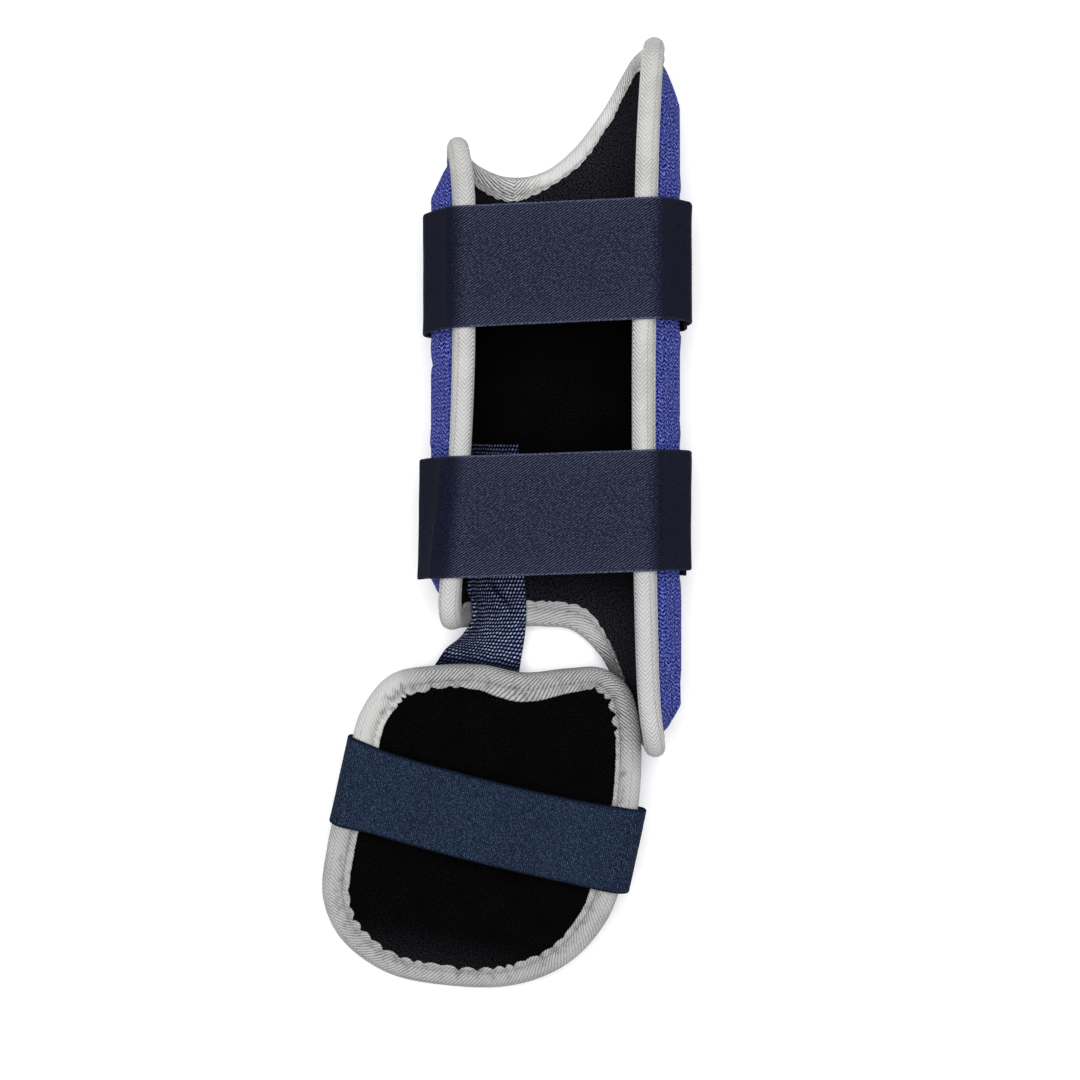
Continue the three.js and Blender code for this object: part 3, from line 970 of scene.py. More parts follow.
@dataclass(frozen=True)
class BrushedLining:
    """Black brushed lining: short fibres that catch a little light, and painted light that makes it paler
    towards its ends.
    """

    name: str
    upper: float
    lower: float
    # Reach of the painted light at each end.
    worn_and_lit: float = 35.0
    deep: Colour = (0.0004, 0.0004, 0.0005)
    fibre: Colour = (0.0045, 0.0045, 0.0055)
    pale: Colour = (0.0260, 0.0240, 0.0320)
    surface: Surface = Surface(0.4, 0.95, 0.03)

    def material(self) -> Material:
        """Colour and relief from two sizes of fibre noise, and painted light, paler towards both ends, from
        the place along the cloth.

        Returns:
            The lining's material.
        """
        sketch = Sketch(self.name)
        across, along = sketch.flat()
        where = sketch.pair(across, along)
        fine = sketch.noise(where, 1.5, 4.0)
        broad = sketch.noise(where, 0.08, 2.0)
        share = sketch.times(sketch.ramp(fine, 0.42, 0.75), sketch.ramp(broad, -0.2, 0.8))
        colour = sketch.mix(share, self.deep, self.fibre)
        # Painted light: the fibres turn pale towards both ends of the cloth, which catch more light than its
        # shaded middle.
        ends = sketch.plus(
            sketch.ramp(along, self.upper, self.upper + self.worn_and_lit),
            sketch.ramp(along, self.lower, self.lower - self.worn_and_lit),
        )
        colour = sketch.mix(sketch.times(ends, sketch.ramp(fine, 0.36, 0.68)), colour, self.pale)
        return sketch.finish(colour, fine, self.surface)


@dataclass(frozen=True)
class HerringboneTape:
    """Pale tape with slanting ribs that meet in a point along its fold."""

    name: str
    rib: Colour
    soil: Colour
    leg: Colour
    furrow: Colour
    seam: float
    flange_blotch: Colour
    smooth: Colour
    # Painted shade: a darker ground along part of the tape, with its colour, where it ends and how far it
    # fades.
    painted_shade: Colour
    shade_to: float
    shade_fade: float = 40.0
    pitch: float = 1.8
    surface: Surface = Surface(0.26, 0.85, 0.15)

    def material(self) -> Material:
        """Ribs along the line where the length equals the distance from the fold, clear where pulled open.
        The same number also brings painted shade, which widens the dark furrows, and below 0 the paler
        smooth colour, which is a painted highlight on the instep tape.

        Returns:
            The tape's material.
        """
        sketch = Sketch(self.name)
        across, along = sketch.flat()
        where = sketch.pair(across, along)
        wander = sketch.scaled(sketch.noise(where, 0.5), 0.5, -0.25)
        reach = sketch.math("ABSOLUTE", across)
        slant = sketch.math("SUBTRACT", along, reach)
        rib = sketch.wave(sketch.plus(sketch.math("DIVIDE", slant, self.pitch), wander))
        thread = sketch.noise(where, 3.0, 3.0)
        broad = sketch.noise(where, 0.05, 3.0)
        pull = sketch.attribute(PULL_AND_PAINTED_LIGHT)
        ground = sketch.mix(sketch.ramp(broad, 0.35, 0.7), self.rib, self.soil)
        ground = sketch.mix(sketch.ramp(across, -1.5, -5.0), ground, self.leg)
        # Below 0 the ground turns to the paler smooth colour: wear on the shin tape, a painted highlight on
        # the left side of the instep tape.
        ground = sketch.mix(sketch.ramp(pull, -0.1, -0.5), ground, self.smooth)
        # Dark blotches from noise on the inner flange.
        blotched = sketch.times(sketch.ramp(sketch.noise(where, 0.25, 5.0), 0.46, 0.78), 0.7)
        blotched = sketch.times(blotched, sketch.ramp(across, -4.0, -7.0))
        ground = sketch.mix(blotched, ground, self.flange_blotch)
        # Painted shade: the ground turns darker where the length along the tape is below a set length,
        # fading out past it.
        shaded = sketch.ramp(along, self.shade_to + self.shade_fade, self.shade_to)
        ground = sketch.mix(shaded, ground, self.painted_shade)
        # Furrows go darker and wider as the number rises, so the painted shade that it carries darkens the
        # tape.
        clear = sketch.scaled(sketch.ramp(broad, 0.3, 0.6), 0.25, 0.25)
        clear = sketch.scaled(pull, 0.8, clear)
        open_to = sketch.scaled(pull, 0.35, 0.38)
        furrow = sketch.times(sketch.ramp(rib, open_to, 0.0), sketch.ramp(thread, 0.2, 0.6))
        colour = sketch.mix(sketch.times(furrow, clear), ground, self.furrow)
        # Painted shade along the sewn furrow, faded out where the number is below 0.
        near = sketch.ramp(reach, self.seam - 0.9, self.seam)
        far = sketch.ramp(reach, self.seam + 0.8, self.seam)
        sewn = sketch.times(sketch.times(near, far), sketch.ramp(pull, -0.3, 0.1))
        colour = sketch.mix(sketch.times(sewn, 0.25), colour, self.furrow)
        height = sketch.scaled(thread, 0.3, rib)
        return sketch.finish(colour, height, self.surface)


@dataclass(frozen=True)
class TwillElastic:
    """Navy elastic: fine twill lines that rise to the right, broken into stitches, and paler selvedges."""

    name: str = "navy_elastic"
    ground: Colour = (0.0140, 0.0163, 0.0320)
    line: Colour = (0.098, 0.110, 0.184)
    furrow: Colour = (0.0032, 0.0038, 0.0086)
    shade: Colour = (0.0036, 0.0042, 0.0120)
    width: float = 50.0
    level: float = 37.0
    sides: float = 43.5
    pitch: float = 0.95
    rise: float = math.radians(33)
    surface: Surface = Surface(0.1, 0.9, 0.03)

    def material(self) -> Material:
        """Lines square to their slant, lost among streaks in the middle, clear at the selvedges.

        Returns:
            The wide bands' material, with painted shade on their sides.
        """
        sketch = Sketch(self.name)
        across, along = sketch.flat()
        where = sketch.pair(across, along)
        up = sketch.times(across, math.cos(self.rise))
        cross = sketch.scaled(along, -math.sin(self.rise), up)
        run = sketch.times(along, math.cos(self.rise))
        run = sketch.scaled(across, math.sin(self.rise), run)
        wander = sketch.scaled(sketch.noise(where, 0.8), 0.7, -0.35)
        line = sketch.wave(sketch.plus(sketch.math("DIVIDE", cross, self.pitch), wander))
        streaks = sketch.noise(sketch.pair(sketch.times(run, 0.45), cross), 2.1, 1.0)
        edge = sketch.math("ABSOLUTE", across)
        crisp = sketch.scaled(sketch.ramp(edge, self.width * 0.2, self.width * 0.48), 0.3, 0.55)
        streak = sketch.ramp(streaks, 0.28, 0.72)
        height = sketch.times(crisp, sketch.math("SUBTRACT", line, streak))
        height = sketch.plus(height, streak)
        lit = sketch.times(sketch.ramp(height, 0.5, 1.0), sketch.ramp(sketch.noise(where, 2.4), 0.25, 0.7))
        dark = sketch.times(sketch.ramp(height, 0.55, 0.1), 0.9)
        colour = sketch.mix(dark, self.ground, self.furrow)
        colour = sketch.mix(sketch.times(lit, 0.9), colour, self.line)
        selvedge = sketch.times(sketch.ramp(edge, self.width / 2 - 0.9, self.width / 2 - 0.5), streak)
        colour = sketch.mix(selvedge, colour, self.line)
        # Painted shade on the sides, where the band turns down the walls.
        side = sketch.ramp(sketch.math("ABSOLUTE", along), self.level, self.sides)
        colour = sketch.mix(sketch.times(side, 0.8), colour, self.shade)
        return sketch.finish(colour, height, self.surface)


@dataclass(frozen=True)
class FineElastic:
    """Bluer elastic of the instep band: a close weave of flecked yarns, with painted shade along its
    selvedges.
    """

    name: str = "blue_elastic"
    ground: Colour = (0.0115, 0.0215, 0.0440)
    fleck: Colour = (0.062, 0.097, 0.165)
    gap: Colour = (0.0022, 0.0046, 0.0120)
    width: float = 35.0
    wide: float = 0.65
    long: float = 0.85
    surface: Surface = Surface(0.12, 0.9, 0.04)

    def material(self) -> Material:
        """Colour by the yarns' height, with flecks on some yarns.

        Returns:
            The instep band's material.
        """
        sketch = Sketch(self.name)
        across, along = sketch.flat()
        where = sketch.pair(across, along)
        drift = sketch.scaled(sketch.noise(where, 1.2), 1.4, -0.7)
        top, drawn = sketch.cells(
            sketch.plus(across, drift), sketch.math("SUBTRACT", along, drift), self.wide, self.long
        )
        thread = sketch.noise(where, 2.0, 3.0)
        colour = sketch.mix(sketch.ramp(top, 0.1, 0.6), self.gap, self.ground)
        fleck = sketch.scaled(drawn, 0.45, sketch.ramp(thread, 0.3, 0.8))
        fleck = sketch.times(sketch.ramp(fleck, 0.3, 1.3), sketch.ramp(top, 0.1, 0.8))
        colour = sketch.mix(fleck, colour, self.fleck)
        # Painted shade along both selvedges, where the band turns away from the light.
        edge = sketch.ramp(sketch.math("ABSOLUTE", across), self.width / 2 - 1.6, self.width / 2 - 0.3)
        colour = sketch.mix(sketch.times(edge, 0.8), colour, self.gap)
        return sketch.finish(colour, top, self.surface)


@dataclass(frozen=True)
class DottedWebbing:
    """Navy webbing: yarns that come up as pale dashes in staggered rows, with painted shade at its crease
    and where it lies in shadow.
    """

    name: str = "navy_webbing"
    gap: Colour = (0.0006, 0.0018, 0.0100)
    yarn: Colour = (0.0060, 0.0135, 0.0560)
    dash: Colour = (0.430, 0.490, 0.710)
    wide: float = 1.65
    long: float = 1.65
    slant: float = 0.55
    surface: Surface = Surface(0.4, 0.75, 0.03)

    def material(self) -> Material:
        """Colour by the yarns' height, palest on their tops, darkened to the gap colour by painted shade at
        the crease and in shadow.

        Returns:
            The webbing's material.
        """
        sketch = Sketch(self.name)
        across, along = sketch.flat()
        where = sketch.pair(across, along)
        drift = sketch.scaled(sketch.noise(where, 0.18), 1.2, -0.6)
        rows = sketch.plus(along, drift)
        top, drawn = sketch.cells(across, rows, self.wide, self.long, self.slant)
        colour = sketch.mix(sketch.ramp(top, 0.1, 0.6), self.gap, self.yarn)
        bright = sketch.scaled(drawn, 0.6, 0.4)
        colour = sketch.mix(sketch.times(sketch.ramp(top, 0.45, 0.95), bright), colour, self.dash)
        # Painted shade carried by the piece turns the colour to the gap colour.
        colour = sketch.mix(sketch.attribute(PULL_AND_PAINTED_LIGHT), colour, self.gap)
        return sketch.finish(colour, top, self.surface)


@dataclass(frozen=True)
class LoopPile:
    """Dark looped pile of the fastening patches."""

    name: str = "navy_loop_pile"
    deep: Colour = (0.002, 0.0023, 0.005)
    loop: Colour = (0.016, 0.018, 0.036)
    surface: Surface = Surface(0.6, 0.95, 0.05)

    def material(self) -> Material:
        """Colour and relief from a close noise of loops.

        Returns:
            The patches' material.
        """
        sketch = Sketch(self.name)
        where = sketch.pair(*sketch.flat())
        loops = sketch.noise(where, 1.4, 4.0)
        colour = sketch.mix(sketch.ramp(loops, 0.35, 0.7), self.deep, self.loop)
        return sketch.finish(colour, loops, self.surface)


@dataclass(frozen=True)
class Thread:
    """Twisted sewing thread."""

    name: str
    light: Colour
    dark: Colour
    twist: float = 0.8
    surface: Surface = Surface(0.05, 0.7, 0.1)

    def material(self) -> Material:
        """Slanting stripes along the thread.

        Returns:
            The thread's material.
        """
        sketch = Sketch(self.name)
        across, along = sketch.flat()
        strand = sketch.wave(sketch.math("DIVIDE", sketch.plus(along, across), self.twist))
        colour = sketch.mix(strand, self.dark, self.light)
        return sketch.finish(colour, strand, self.surface)


@dataclass(frozen=True)
class Finishes:
    """Every finish of the guard, made once."""

    cover: Material
    lining: Material
    foot_lining: Material
    tape: Material
    foot_tape: Material
    band: Material
    foot_band: Material
    webbing: Material
    pile: Material
    pale_thread: Material
    navy_thread: Material

    @classmethod
    def made(cls) -> "Finishes":
        """Makes the materials.

        Returns:
            The finishes.
        """
        return cls(
            cover=MeshCloth().material(),
            lining=BrushedLining("black_brushed_lining", 150.0, 40.0).material(),
            foot_lining=BrushedLining("black_instep_lining", 62.0, -45.0).material(),
            tape=HerringboneTape(
                "pale_herringbone_tape",
                rib=(0.53, 0.53, 0.52),
                soil=(0.47, 0.47, 0.46),
                leg=(0.72, 0.72, 0.71),
                furrow=(0.09, 0.09, 0.09),
                seam=10.3,
                flange_blotch=(0.42, 0.42, 0.41),
                smooth=(0.57, 0.57, 0.56),
                painted_shade=(0.50, 0.50, 0.50),
                shade_to=150.0,
            ).material(),
            foot_tape=HerringboneTape(
                "grey_herringbone_tape",
                rib=(0.44, 0.44, 0.44),
                soil=(0.36, 0.36, 0.36),
                leg=(0.42, 0.42, 0.42),
                furrow=(0.07, 0.07, 0.07),
                seam=9.2,
                flange_blotch=(0.15, 0.15, 0.15),
                smooth=(0.54, 0.54, 0.53),
                painted_shade=(0.36, 0.36, 0.36),
                shade_to=-40.0,
            ).material(),
            band=TwillElastic().material(),
            foot_band=FineElastic().material(),
            webbing=DottedWebbing().material(),
            pile=LoopPile().material(),
            pale_thread=Thread("pale_thread", (0.46, 0.46, 0.45), (0.25, 0.25, 0.24)).material(),
            navy_thread=Thread("navy_thread", (0.026, 0.029, 0.055), (0.008, 0.009, 0.018)).material(),
        )


class Leg(NamedTuple):
    """One leg of the folded tape: where it is sewn, and where it ends, inward of the edge."""

    furrow: float
    end: float


@dataclass(frozen=True)
class Binding:
    """Tape folded round an edge: a plump roll over the edge, a sewn furrow, and a flange that ruffles."""

    inner: Leg = Leg(6.1, 9.3)
    outer: Leg = Leg(4.9, 6.7)
    roll_degrees: float = 106.0
    roll_points: int = 10
    furrow_depth: float = 1.02
    notch_depth: float = 1.6
    crease_depth: float = 1.0
    crease_half: float = 2.4
    crease_at: float = 3.0
    crease_reach: float = 2.5
    # Painted shade in the creases by the notches, added to how far the ribs are pulled open.
    crease_shade: float = 0.8
    flange_lift: float = 0.5
    least_ply: float = 0.1
    rolled_to: float = 4.0
    stitch_pitch: float = 3.1
    stitch_length: float = 2.3
    thread_radius: float = 0.26
    thread_dip: float = 0.15
    leg_points: int = 27
    span_points: int = 12
    hidden_shares: tuple[float, float, float] = (0.93, 0.6, 0.25)

    @property
    def radius(self) -> float:
        """Radius of the roll over the edge."""
        return (PLIES.tape_in + PLIES.tape_out) / 2 + PLIES.tape

    @property
    def width(self) -> float:
        """Width of the tape when it is laid flat."""
        return sum(self.face(leg)[2][-1] for leg in (self.inner, self.outer))

    @property
    def middle(self) -> float:
        """Height of the roll's middle over the seam."""
        return (PLIES.tape_out - PLIES.tape_in) / 2

    def face(self, leg: Leg) -> tuple[Array, Array, Array]:
        """Half of the tape's outer face, from the fold to the end of one leg.

        A part circle rolls over the edge, and a smooth line goes on through the furrow to the flange's end.

        Args:
            leg: The leg's sizes.

        Returns:
            Places outward of the edge, depths from the roll's middle, and lengths from the fold.
        """
        turn = np.radians(np.linspace(0, self.roll_degrees, self.roll_points))
        out = PLIES.fold - self.radius * (1 - np.cos(turn))
        rolled = np.stack([out, self.radius * np.sin(turn)], axis=-1)
        flange = leg.end - leg.furrow
        sewn = np.array([
            [-leg.furrow, self.radius - self.furrow_depth],
            [-leg.furrow - 0.2 * flange, self.radius - 0.55],
            [-leg.furrow - 0.62 * flange, self.radius - 0.2],
            [-leg.end, self.radius - 0.3],
        ])
        line = smooth_path(np.concatenate([rolled, sewn]), self.span_points)
        length = np.linalg.norm(np.diff(line, axis=0), axis=1).sum()
        even, along = resample(line, length / (self.leg_points - 1))
        return even[:, 0], even[:, 1], along

    def ruffled(self, leg: Leg, notch: Array, narrow: Array) -> tuple[Array, Array, Array]:
        """One leg at every place along the edge, drawn in at its notches and creased towards them.

        Args:
            leg: The leg's sizes.
            notch: Depth of the notch in the leg's end, from 0 to 1, at each place.
            narrow: Share of the flange that is tucked away at each place.

        Returns:
            Places outward of the edge, depths from the roll's middle, and lengths from the fold.
        """
        out, deep, length = self.face(leg)
        notch, narrow = notch[:, None], narrow[:, None]
        flange = smoothstep(-out, leg.furrow, leg.end)
        crease = np.exp(-((out + leg.furrow) / self.crease_half) ** 2)
        drawn_in = -self.rolled_to + (out + self.rolled_to) * (1 - narrow)
        tucked = np.where(out < -self.rolled_to, drawn_in, out)
        leg_out = tucked + self.notch_depth * notch * flange
        lifted = deep + self.flange_lift * (0.5 - notch) * flange - self.crease_depth * notch * crease
        lowest = np.minimum(deep, self.radius - PLIES.tape + self.least_ply)
        return leg_out, np.maximum(lifted, lowest), np.broadcast_to(length, leg_out.shape)

    def section(self, ruffle: Array, narrow: Array) -> tuple[Array, Array, Array]:
        """Loops of the folded tape, one for each place along the edge.

        Args:
            ruffle: Depth of the notch in each leg's end, rows by two legs (inner, outer).
            narrow: Share of the inner flange that is tucked away at each place.

        Returns:
            Places outward of the edge, heights outward through the padding, and flat places across the tape.
        """
        in_out, in_deep, in_flat = self.ruffled(self.inner, ruffle[:, 0], narrow)
        over_out, over_deep, over_flat = self.ruffled(self.outer, ruffle[:, 1], 0 * narrow)
        rows = len(ruffle)
        share = np.array(self.hidden_shares)
        hidden_over = np.append(-self.outer.end * share, PLIES.tape_gap) * np.ones((rows, 1))
        hidden_in = np.append(in_out[:, -1:] * share, np.full((rows, 1), PLIES.tape_gap), axis=1)
        over_end, in_end = over_flat[:, -1:] + 1, -in_flat[:, -1:] - 1
        ones = np.ones((rows, 4))
        return (
            np.concatenate([in_out[:, ::-1], over_out[:, 1:], hidden_over, hidden_in[:, ::-1]], axis=1),
            np.concatenate([
                self.middle - in_deep[:, ::-1],
                self.middle + over_deep[:, 1:],
                PLIES.tape_out * ones,
                -PLIES.tape_in * ones,
            ], axis=1),
            np.concatenate([-in_flat[:, ::-1], over_flat[:, 1:], over_end * ones, in_end * ones], axis=1),
        )


def lobes(along: Array, total: float, shortest: float, longest: float, seed: int) -> Array:
    """Ruffle of a gathered edge: round lobes of uneven length between sharp notches.

    Args:
        along: Lengths along the edge.
        total: Length of the whole edge.
        shortest: Shortest lobe.
        longest: Longest lobe.
        seed: Start of the random draws.

    Returns:
        Depth from 0 on a lobe's top to 1 at a notch.
    """
    draw = np.random.default_rng(seed)
    notches = np.cumsum(draw.uniform(shortest, longest, int(total / shortest) + 2))
    notches = np.concatenate([[0], notches])
    strength = draw.uniform(WEAKEST_NOTCH, 1.0, len(notches))
    k = np.clip(np.searchsorted(notches, along, side="right") - 1, 0, len(notches) - 2)
    t = (along - notches[k]) / (notches[k + 1] - notches[k])
    fade = strength[k] + (strength[k + 1] - strength[k]) * t
    return (1 - np.sin(np.pi * t) ** LOBE_POWER) * fade


SHIN_TAPE = Binding()
FOOT_TAPE = Binding(inner=Leg(5.1, 7.5), furrow_depth=0.75, notch_depth=2.6)


def bound_edge(
    name: str,
    tape: Binding,
    form: ShinForm | FootForm,
    way_out: int,
    places: Array,
    flat_along: Array,
    lean: Array,
    ruffle: Array,
    narrow: Array,
    pull: Array,
) -> tuple[Piece, Piece]:
    """Tape and its two rows of stitches round a closed edge.

    Args:
        name: Name of the tape's object.
        tape: Sizes of the folded tape.
        form: Surface that the edge lies on.
        way_out: Sign of a raise that goes outward through the padding.
        places: Flat-pattern places along the edge, anticlockwise.
        flat_along: Length along the tape at each place, and once more at the start.
        lean: Extra length along the tape for each millimetre from its fold, at the same places.
        ruffle: Notch depths for the inner and the outer leg at each place.
        narrow: Share of the inner flange that is tucked away at each place.
        pull: How far the tape's ribs are pulled open at each place, apart from the creases by its
        notches, with painted shade and a painted highlight folded in.

    Returns:
        The tape, and its stitches.
    """
    way = tangents(places, closed=True)
    out, high, flat = tape.section(ruffle, narrow)
    points = form.place(
        places[:, None, 0] + way[:, None, 1] * out,
        places[:, None, 1] - way[:, None, 0] * out,
        way_out * high,
    )
    across = np.concatenate([flat, flat[:, :1]], axis=1)
    across = np.concatenate([across, across[:1]])
    flat_map = np.stack([across, flat_along[:, None] + lean[:, None] * np.abs(across)], axis=-1)
    # Painted shade in the creases by the notches, added to how far the ribs are pulled open.
    from_crease = flat + tape.face(tape.inner)[2][-1] - tape.crease_at
    creased = np.exp(-(from_crease / tape.crease_reach) ** 2) * ruffle[:, :1]
    opened_and_shaded = pull[:, None] + tape.crease_shade * creased
    piece = make_piece(name, Skin(points[None], flat_map, True, opened_and_shaded))
    loop = np.concatenate([places, places[:1]])
    length = lengths(loop)
    starts = np.arange(0, length[-1] - tape.stitch_pitch, tape.stitch_pitch)
    tuck = np.append(narrow, narrow[:1])
    rows = []
    for sign, leg in ((-1, tape.inner), (1, tape.outer)):
        ends = []
        for at in (starts, starts + tape.stitch_length):
            spot = read_at(loop, length, at)
            turn = unit(read_at(way, length[:-1], at))
            kept = 1 - np.interp(at, length, tuck) * (sign < 0)
            furrow = tape.rolled_to + (leg.furrow - tape.rolled_to) * kept
            ends.append((spot[:, 0] - turn[:, 1] * furrow, spot[:, 1] + turn[:, 0] * furrow))
        high = way_out * (tape.middle + sign * (tape.radius - tape.furrow_depth))
        above = way_out * (tape.middle + sign * tape.radius)
        first, second = (form.place(x, y, high) for x, y in ends)
        normal = unit(form.place(*ends[0], above) - first)
        rows.append(stitch_skin(first, second, normal, tape.thread_radius, tape.thread_dip))
    return piece, make_piece(name + "_stitches", joined(rows))


@dataclass(frozen=True)
class Seam:
    """Row of stitches that holds the end of a strap."""

    pitch: float = 3.0
    length: float = 2.2
    radius: float = 0.25
    dip: float = 0.2

    def sewn(self, path: Array, normals: Array) -> Skin:
        """Stitches along a path.

        Args:
            path: Points along the row, on the cloth.
            normals: Way out of the cloth at each point.

        Returns:
            The stitches' bodies.
        """
        along = lengths(path)
        starts = np.arange(self.pitch / 2, along[-1] - self.length, self.pitch)
        first, second = (read_at(path, along, at) for at in (starts, starts + self.length))
        normal = unit(read_at(normals, along, starts))
        return stitch_skin(first, second, normal, self.radius, self.dip)


STRAP_SEAM = Seam()


@dataclass(frozen=True)
class Inflation:
    """Cloth simulation of a stuffed cover: pressure swells it, while sewn and covered places are held."""

    pressure: float = 2.6
    frames: int = 16
    quality: int = 3
    spare: float = 0.008
    cap: float = 0.65
    lowest: float = 0.1

    def swell(self, piece: Piece, held: Array) -> None:
        """Runs the simulation and keeps its shape, with no point moved past the cap or into the floor.

        Args:
            piece: The closed cover.
            held: Whether each of its points stays in place.
        """
        vertices = piece.data.vertices
        start, swollen = np.empty((2, len(vertices), 3), np.float32)
        vertices.foreach_get("co", start.ravel())
        group = piece.vertex_groups.new(name="held")
        group.add(np.flatnonzero(held).tolist(), 1.0, "REPLACE")
        cloth = piece.modifiers.new("inflation", "CLOTH")
        cloth.point_cache.frame_end = self.frames
        cloth.collision_settings.use_collision = False
        cloth.settings.quality = self.quality
        cloth.settings.use_pressure = True
        cloth.settings.uniform_pressure_force = self.pressure
        cloth.settings.effector_weights.gravity = 0
        cloth.settings.vertex_group_mass = group.name
        cloth.settings.shrink_min = -self.spare
        scene = bpy.context.scene
        for number in range(1, self.frames + 1):
            scene.frame_set(number)
        graph = bpy.context.evaluated_depsgraph_get()
        piece.evaluated_get(graph).data.vertices.foreach_get("co", swollen.ravel())
        piece.modifiers.remove(cloth)
        piece.vertex_groups.remove(group)
        scene.frame_set(1)
        step = swollen - start
        far = np.linalg.norm(step, axis=1, keepdims=True)
        moved = start + step * np.minimum(1, self.cap * MM / np.maximum(far, TINY))
        moved[:, 2] = np.maximum(moved[:, 2], np.minimum(start[:, 2], self.lowest * MM))
        vertices.foreach_set("co", moved.ravel())
        piece.data.update()
        log.info("%s: swelled %.2f mm on average", piece.name, far[~held].mean() / MM)


INFLATION = Inflation()


@dataclass(frozen=True)
class ShinGuard:
    """The padded wall that wraps the shin: its cover, its lining and the tape round its edge."""

    columns: int = 150
    rows: int = 190
    lining_columns: int = 100
    lining_rows: int = 130
    tape_step: float = 1.0
    lower_join: float = -22.0
    stretched_to: float = 18.0
    start_stretch: float = 0.62
    start_lean: float = -0.25
    arch_stretch: float = 0.4
    arch_lean: float = -0.3
    stretch_fade: float = 16.0
    wall_from: float = 14.0
    pucker: float = 0.3
    pucker_from: float = 9.0
    pucker_fade: float = 7.0
    pucker_calm: Ramp = Ramp(10.5, 14)
    pucker_free: Ramp = Ramp(0.5, 26)
    sewn_to: float = 8.5
    slack: float = 0.55
    slack_from: float = 14.0
    slack_above: Ramp = Ramp(20, 80)
    pressed_to: float = 4.4
    rests_to: float = 8.0
    lining_uneven: float = 0.16
    lining_calm: Ramp = Ramp(11, 20)
    middle_y: float = 60.0
    gathered: float = 0.12
    gathered_more: float = 0.6
    gathered_in: Ramp = Ramp(3, 16)
    gathered_outer: float = 0.3
    arch: Stretch = Stretch(-18, -6, 56, 76)
    arch_pull_and_shade: float = 0.4
    arch_right: Ramp = Ramp(16, 40)
    # Painted shade: the arch's right part and right limb count as pulled further open, so their dark furrows
    # widen.
    arch_right_shade: float = 0.95
    arch_limb: Stretch = Stretch(15, 30, 34, 46)
    arch_limb_shade: float = 4.0
    arch_tucked: Stretch = Stretch(8, 24, 42, 60)
    arch_narrow: float = 0.55
    scoop: Stretch = Stretch(-66, -54, -15, -3)
    scoop_tucked: Stretch = Stretch(-20, -3, 14, 60)
    scoop_narrow: float = 0.64
    scoop_uneven: float = 0.2
    climb: Stretch = Stretch(16, 34, 42, 54)
    # Painted shade on the climb of the top edge, made the same way.
    climb_shade: float = 1.3
    worn_and_lit: Ramp = Ramp(-14, 6)
    worn_in: Ramp = Ramp(2, 10)
    worn_pull: float = 0.35
    low_left: Area = Area(Ramp(-72, -84), Ramp(52, 36))
    low_left_narrow: float = 0.5

    def near_tape(self, inward: Array) -> Array:
        """Strength of the puckers, which start by the tape and fade inward of it."""
        fade = np.exp(-np.maximum(inward - PLIES.pad_start, 0) / self.pucker_fade)
        return fade * (inward > self.pucker_from)

    def ply(self, name: str, across: Array, y: Array, face: Array, seam: float) -> Piece:
        """Closed cloth between its free face and the seam of cover and lining.

        Args:
            name: Name of the object.
            across: Lengths across the wrap, rows by columns.
            y: Heights on the pattern.
            face: How far the free face is raised.
            seam: How far the other side is raised.

        Returns:
            The cloth.
        """
        outer = SHIN.place(across, y, face)
        inner = SHIN.place(across, y, np.full_like(y, seam))
        points = np.concatenate([outer, inner[:, ::-1]], axis=1)
        flat = np.stack([across, y], axis=-1)
        flat = np.concatenate([flat, flat[:, ::-1], flat[:, :1]], axis=1)
        return make_piece(name, Skin(points[None], flat, False))

    def cover(self) -> Piece:
        """Padded cover: the padding's height over the seam, puckered at the tape, then swelled where free.

        Returns:
            The cover.
        """
        across, y = SHIN.grid(self.columns, self.rows)
        side, top, bottom = SHIN.inward(across, y)
        ends = np.minimum(top, bottom)
        corner = Ramp(SHIN.front_half + self.wall_from, SHIN.front_half + SHIN.corner_length)
        wall = corner.share(np.abs(across))
        from_band = np.min([
            np.abs(y - band.y - band.turn * SHIN.section(across)[0]) - band.width / 2 for band in SHIN_BANDS
        ], axis=0)
        creases = Ripples(5, 6, 15, lean=0.5)
        at_side = creases.at(y, across) * self.near_tape(side)
        at_end = creases.at(across, y) * self.near_tape(ends)
        calm = self.pucker_calm.share(np.minimum(side, ends))
        pucker = self.pucker * (at_side + at_end) * calm * self.pucker_free.share(from_band) * wall
        loose = smoothstep(from_band, self.pressed_to, self.slack_from)
        slack = self.slack * wall * loose * self.slack_above.share(y)
        padding = PLIES.pad_edge + (PLIES.pad_full - PLIES.pad_edge - slack) * SHIN.swell(across, y) + pucker
        piece = self.ply("padded_shin_cover", across, y, PLIES.gap / 2 + padding, PLIES.gap / 2)
        held = (np.minimum(side, ends) < self.sewn_to) | (from_band < self.pressed_to)
        held = held | (np.abs(across) < SHIN.front_half + self.rests_to)
        INFLATION.swell(piece, np.concatenate([held, np.ones_like(held)], axis=1).ravel())
        return piece

    def lining(self) -> Piece:
        """Lining: an even ply inside the seam, with soft unevenness away from the tape.

        Returns:
            The lining.
        """
        across, y = SHIN.grid(self.lining_columns, self.lining_rows)
        side, top, bottom = SHIN.inward(across, y)
        calm = self.lining_calm.share(np.minimum(side, np.minimum(top, bottom)))
        uneven = self.lining_uneven * calm * Ripples(11, 18, 60).at(across, y)
        return self.ply("shin_lining_cloth", across, y, -PLIES.lining_face + uneven, -PLIES.gap / 2)

